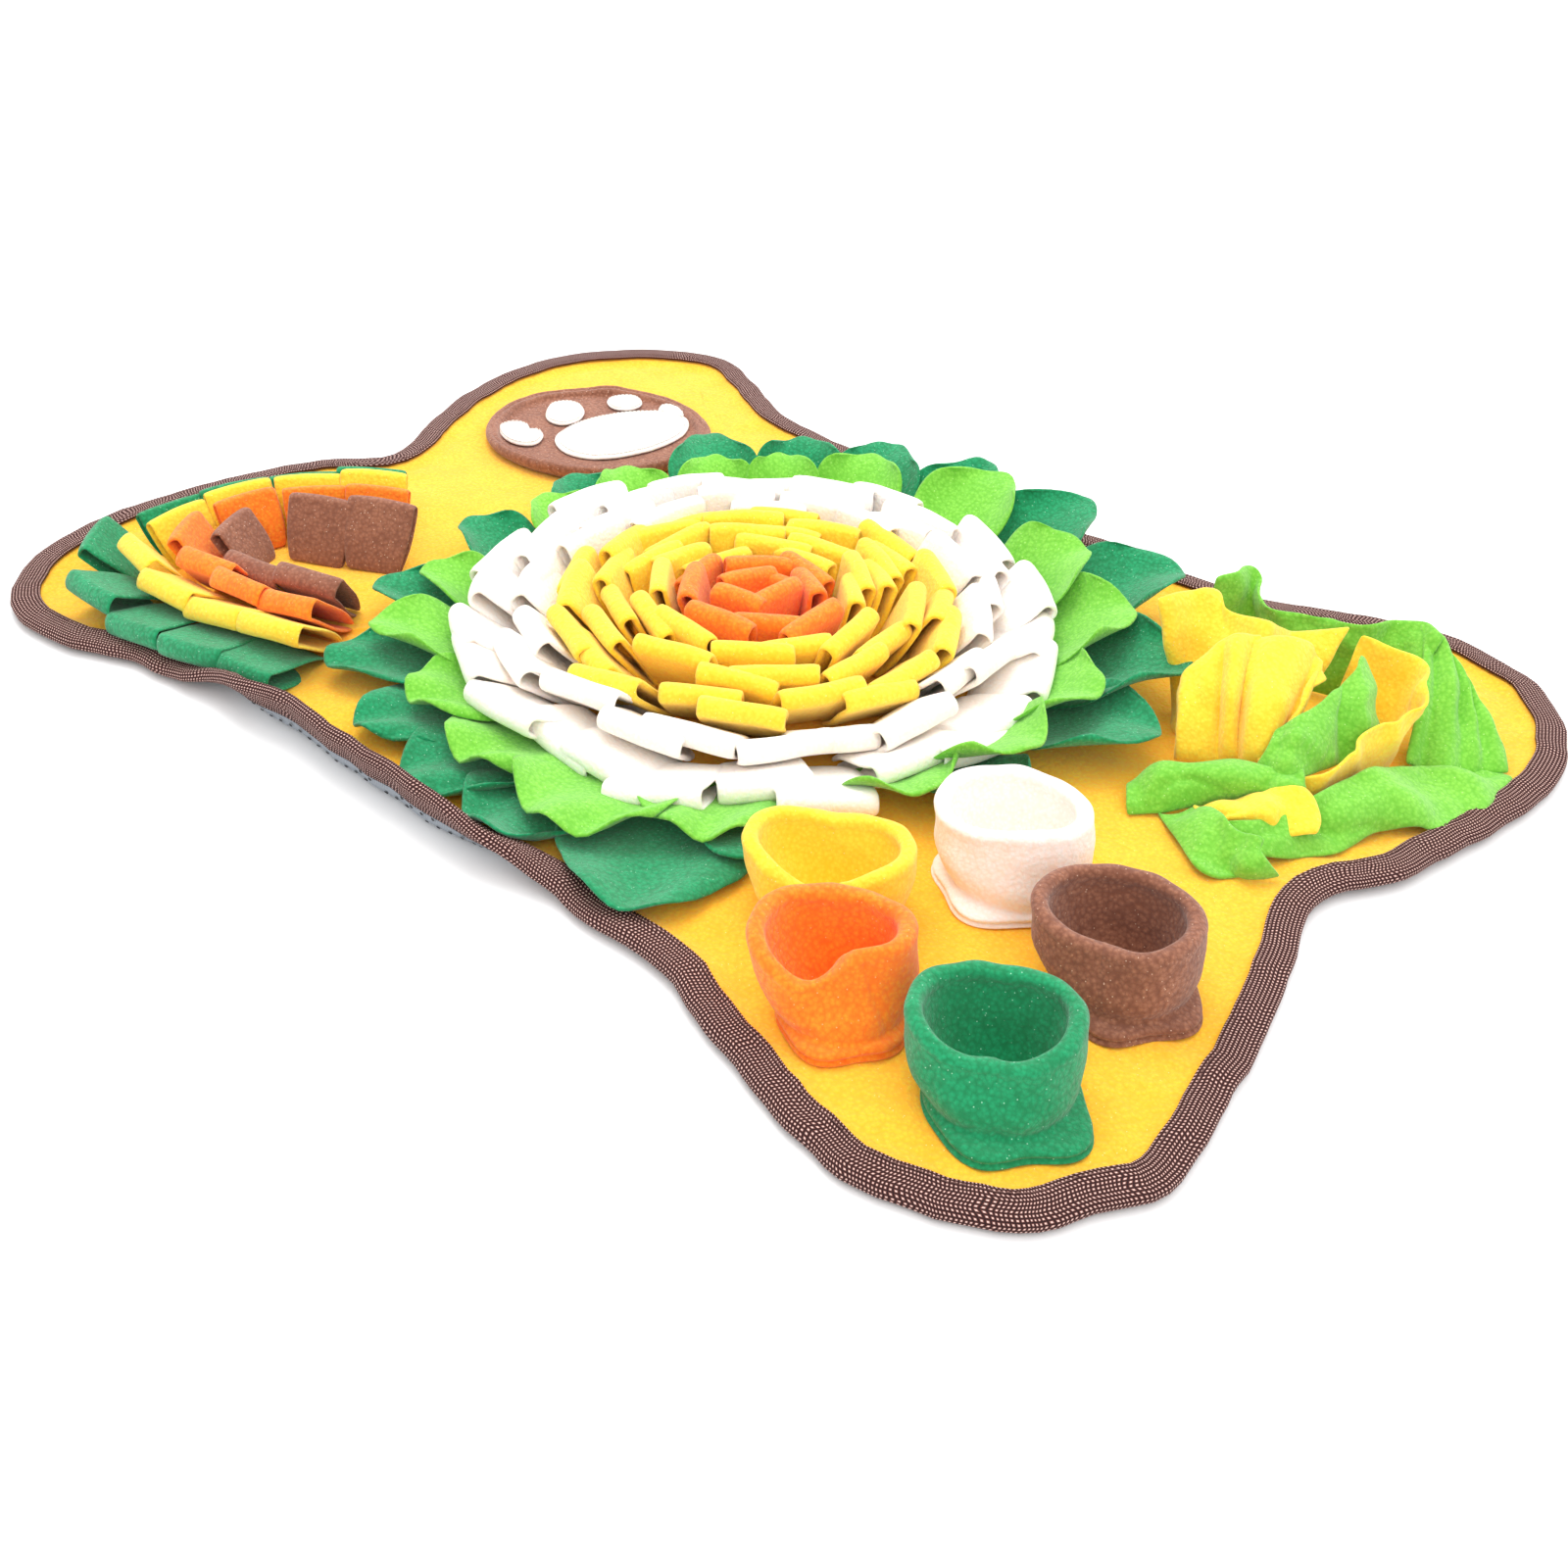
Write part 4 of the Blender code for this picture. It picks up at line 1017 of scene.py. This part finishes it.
def paw_dish(tree, mats, threads, stitch):
    """The brown dish with its rolled rim, the pad, the toes and their stitches."""
    x, y, half_long, half_wide, turn = DISH
    turn = math.radians(turn)
    floor = BED + CLOTH / 2
    outline, rims = [], []
    for i, angle in enumerate(circle(96)):
        u, v = half_long * math.cos(angle), half_wide * math.sin(angle)
        grow = 1 + 0.014 * math.sin(2 * angle + 1) + 0.012 * math.sin(5 * angle)
        outline.append((x + grow * (u * math.cos(turn) - v * math.sin(turn)),
                        y + grow * (u * math.sin(turn) + v * math.cos(turn))))
        near = 0.5 + 0.5 * math.cos(angle + math.radians(60))
        point = math.exp(-((angle - math.radians(118)) / 0.22) ** 2)
        rims.append(DISH_RIM * (0.5 + 0.75 * near) + 2.2 * point + 0.3 * wobble(i, 2))
    profile = ((0.93, 0.0), (0.975, 0.25), (1.0, 0.7), (0.99, 1.05), (0.97, 1.15),
               (0.955, 0.92), (0.94, 0.88), (0.92, 1.02), (0.905, 0.85), (0.895, 0.4),
               (0.865, 0.05), (0.7, 0.0), (0.45, 0.0), (0.2, 0.0))
    rings = [(share, [floor + rise * rim for rim in rims]) for share, rise in profile]
    ringed("paw_dish_cloth", "paw_dish", "brown", outline, rings, floor, mats,
           (2.16 * half_long * MM, 2.16 * half_wide * MM))
    level = BED + 1.5 * CLOTH + 0.3
    for name, corners in PAW.items():
        steps = 44 if name == "paw_pad" else 28
        edge = catmull(corners, steps, closed=True)
        rise = PAW_RISE[name]
        rings = [(share, [level + lift * rise] * steps)
                 for share, lift in ((1.0, -0.1), (0.93, 0.55), (0.75, 0.9), (0.4, 1.0))]
        low, high = edge.min(axis=0), edge.max(axis=0)
        sewn = ringed(name + "_cloth", name, "white", [tuple(c) for c in edge], rings,
                      level + rise, mats, tuple((high - low) * MM * 1.02))
        cx, cy = edge.mean(axis=0)
        route = [(lerp(cx, px, 0.93), lerp(cy, py, 0.93), pz + 0.65 * rise + 1.0)
                 for px, py, pz in sewn]
        stitch_line(tree, name + "_stitches", route + route[:1], stitch,
                    PAW_STITCH_PITCH, threads["pale"], "white")


# ---------------- lettuce
def sheet_patch(sections, foot_folds, number, depth, seed):
    """A grid of places over sections of three places, pleated and a little crumpled."""
    count = 7 * (len(sections) - 1) + 1
    lines = [catmull([section[k] for section in sections], count, closed=False)
             for k in range(3)]
    rows = 10
    verts = []
    for i in range(count):
        low, middle, high = (Vector(line[i]) for line in lines)
        ahead = Vector(lines[1][min(i + 1, count - 1)]) - Vector(lines[1][max(i - 1, 0)])
        out = ahead.cross(high - low)
        out.normalize()
        along = i / (count - 1)
        swing = 2 * math.pi * number * along + seed + 0.8 * math.sin(9 * along)
        pleat = depth * (0.75 * math.asin(0.97 * math.sin(swing)) + 0.2 * math.sin(2.3 * swing))
        for r in range(rows):
            t = r / (rows - 1)
            place = (low * (1 - t) * (1 - 2 * t) + middle * 4 * t * (1 - t)
                     + high * t * (2 * t - 1))
            free = smooth(t / 0.8) if foot_folds else 1 - 0.5 * abs(2 * t - 1)
            crumple = 2.2 * ripple(place.x + 2 * place.z, place.y, 15.0, seed + 2)
            fold = abs(ripple(place.x - place.z, place.y + place.z, 30.0, seed + 5))
            crumple += 3.6 * max(1 - 5.0 * fold, 0.0)
            place += out * (pleat * free + crumple * (0.3 + 0.7 * free))
            place.z = max(place.z, BED + CLOTH / 2 + 0.1)
            verts.append(tuple(place))
    return verts, grid_faces(count, rows)


def lettuce_sheet(name, mats):
    """A crumpled sheet: its standing part, its lying part or both."""
    seed = len(name) * 1.7
    cloth, number, depth = LETTUCE[name]
    patches = []
    if name in STANDING:
        sections = []
        for foot_x, foot_y, edge_x, edge_y, edge_z in STANDING[name]:
            foot = (foot_x, foot_y, BED + 1.0)
            middle = (lerp(foot_x, edge_x, 0.45), lerp(foot_y, edge_y, 0.45), 0.52 * edge_z + 3)
            sections.append((foot, middle, (edge_x, edge_y, edge_z)))
        patches.append(sheet_patch(sections, True, number, depth, seed))
    if name in LYING:
        patches.append(sheet_patch(LYING[name], False, number, depth, seed + 4))
    verts, faces = [], []
    for places, quads in patches:
        faces += [tuple(index + len(verts) for index in quad) for quad in quads]
        verts += places
    obj = new_mesh(name + "_cloth", verts, faces, mats[cloth])
    sheet_out(obj, cloth, name)


# ---------------- backing dots
def backing_dots(tree, mat, curve, inward):
    """Rubbery dots on the underside, in offset rows."""
    pattern_points = []
    sides = 6
    for radius, height in ((1.1, 0.05), (0.7, -DOT_HEIGHT)):
        for angle in circle(sides):
            pattern_points.append((radius * math.cos(angle), radius * math.sin(angle), height))
    faces = [tuple(reversed(f)) for f in grid_faces(2, sides, closed=True)]
    faces.append(tuple(reversed(range(sides, 2 * sides))))
    faces.append(tuple(range(sides)))
    pattern = new_mesh("pattern_dot", pattern_points, faces, mat)
    polygon = [tuple(place) for place in curve[::4]]
    points = []
    rows = int(MAT_SIZE[1] / DOT_PITCH) + 4
    columns = int(MAT_SIZE[0] / DOT_PITCH)
    for r in range(rows):
        y = (r - rows / 2) * DOT_PITCH
        for c in range(columns):
            x = (c - columns / 2 + 0.5 * (r % 2)) * DOT_PITCH
            if not inside(polygon, x, y):
                continue
            nearest, distance = nearest_rim(curve, x, y)
            if distance < BINDING_WIDTH:
                continue
            rim, near = curve[nearest], inward[nearest]
            if distance > CURL_START:
                points.append(((x, y, DOT_HEIGHT), (0, 0, 0), (1, 1, 1)))
                continue
            slope = bent(distance, curl_amount(*rim))[2]
            yaw = math.atan2(near[1], near[0])
            points.append((lay(rim, near, distance, DOT_HEIGHT), turned(yaw, slope), (1, 1, 1)))
    obj = spread(tree, "backing_dots", points, pattern, mat)
    drop(pattern)
    hand_over(obj, "backing")


def inside(polygon, x, y):
    hit = False
    for (x0, y0), (x1, y1) in zip(polygon, polygon[1:] + polygon[:1]):
        if (y0 > y) != (y1 > y) and x < (x1 - x0) * (y - y0) / (y1 - y0) + x0:
            hit = not hit
    return hit


# ---------------- studio
def studio():
    camera = put("camera", bpy.data.cameras.new("camera"))
    camera.data.lens = 40.14
    camera.data.sensor_width = 36.0
    right = Vector((0.74730122, 0.66390381, 0.02779581))
    up = Vector((-0.40191098, 0.41829462, 0.81455336))
    ahead = Vector((-0.52915824, 0.61988817, -0.57942231))
    place = Matrix((right, up, -ahead)).transposed().to_4x4()
    place.translation = Vector((0.509896, -0.577724, 0.460857))
    camera.matrix_world = place
    camera.data.clip_start = 0.05
    camera.data.clip_end = 30.0
    bpy.context.scene.camera = camera

    floor_mat, nodes = start_material("studio_floor")
    pale = nodes.mix(nodes.grain(nodes.here(), 2.0), (0.96, 0.96, 0.96), (0.99, 0.99, 0.99))
    finish(floor_mat, nodes, pale, {"Roughness": 0.9})
    size = 6000.0
    corners = [(-size, -size, -0.05), (size, -size, -0.05), (size, size, -0.05),
               (-size, size, -0.05)]
    floor = new_mesh("floor", corners, [(0, 1, 2, 3)], floor_mat)

    # Each lamp's name, place, size in metres and power in watts.
    lamps = (
        ("key", (-0.7, 0.3, 1.5), 1.0, 15.0), ("fill", (1.2, -0.9, 1.2), 1.6, 9.0),
        ("back", (0.4, 1.5, 1.3), 1.6, 10.0), ("top", (0.0, 0.0, 2.0), 1.8, 9.0),
    )
    for name, at, size, power in lamps:
        light = bpy.data.lights.new(name, "AREA")
        light.size = size
        light.energy = power
        lamp = put(name, light)
        lamp.location = at
        lamp.rotation_euler = (-Vector(at)).to_track_quat("-Z", "Y").to_euler()
    world = bpy.data.worlds.new("white_room")
    world.use_nodes = True
    sky = world.node_tree.nodes["Background"].inputs
    sky["Color"].default_value = (1, 1, 1, 1)
    sky["Strength"].default_value = 1.0
    bpy.context.scene.world = world
    bpy.context.scene.view_settings.view_transform = "Standard"


# ---------------- the whole mat
def build():
    mats = {key: fleece_material(key + "_fleece", *row) for key, row in CLOTHS.items()}
    threads = {
        "pale": plain_material("thread_pale", (0.85, 0.80, 0.74), 0.7, 2500.0),
        "brown": plain_material("thread_brown", (0.16, 0.07, 0.06), 0.7, 2500.0),
    }
    tape, weave = binding_material(), backing_material()
    rubber = plain_material("rubber_dots", (0.02, 0.02, 0.022), 0.6, 900.0)
    tree = repeat_tree("repeat_on_points")
    curve, inward = rim_curve()
    mat_sheet("mat_backing_cloth", "mat_backing", "backing", weave,
              DOT_HEIGHT + BACKING_THICK / 2, BACKING_THICK, 0.0, curve, inward)
    mat_sheet("mat_fleece_cloth", "mat_fleece", "fleece", mats["fleece"],
              FLEECE_LOW + FLEECE_THICK / 2, FLEECE_THICK, FLEECE_CREASE, curve, inward)
    binding_strip(tape, curve, inward)
    backing_dots(tree, rubber, curve, inward)
    stitch = stitch_pattern(STITCH_LENGTH, STITCH_RADIUS, threads["brown"])
    inset = BINDING_WIDTH - STITCH_INSET
    route = [lay(rim, near, inset, BINDING_TOP + 0.25) for rim, near in zip(curve, inward)]
    stitch_line(tree, "binding_stitches", route + route[:1], stitch, TAPE_STITCH_PITCH,
                threads["brown"], "binding")
    for number, row in enumerate(RINGS):
        flower_ring(tree, number, row, mats)
    leaf_wreath("leaves_dark_cloth", "leaves_dark_green", "dark_green", DARK_LEAVES, DARK_ROOT,
                DARK_FOOT, mats, curve)
    leaf_wreath("leaves_light_cloth", "leaves_light_green", "light_green", LIGHT_LEAVES,
                LIGHT_ROOT, LIGHT_FOOT, mats, curve)
    for number, row in enumerate(FAN_ROWS):
        fan_row(tree, number, row, mats)
    for name in CUPS:
        cup(name, mats)
    paw_dish(tree, mats, threads, stitch)
    for name in LETTUCE:
        lettuce_sheet(name, mats)
    drop(stitch)
    studio()


build()
bpy.context.view_layer.update()
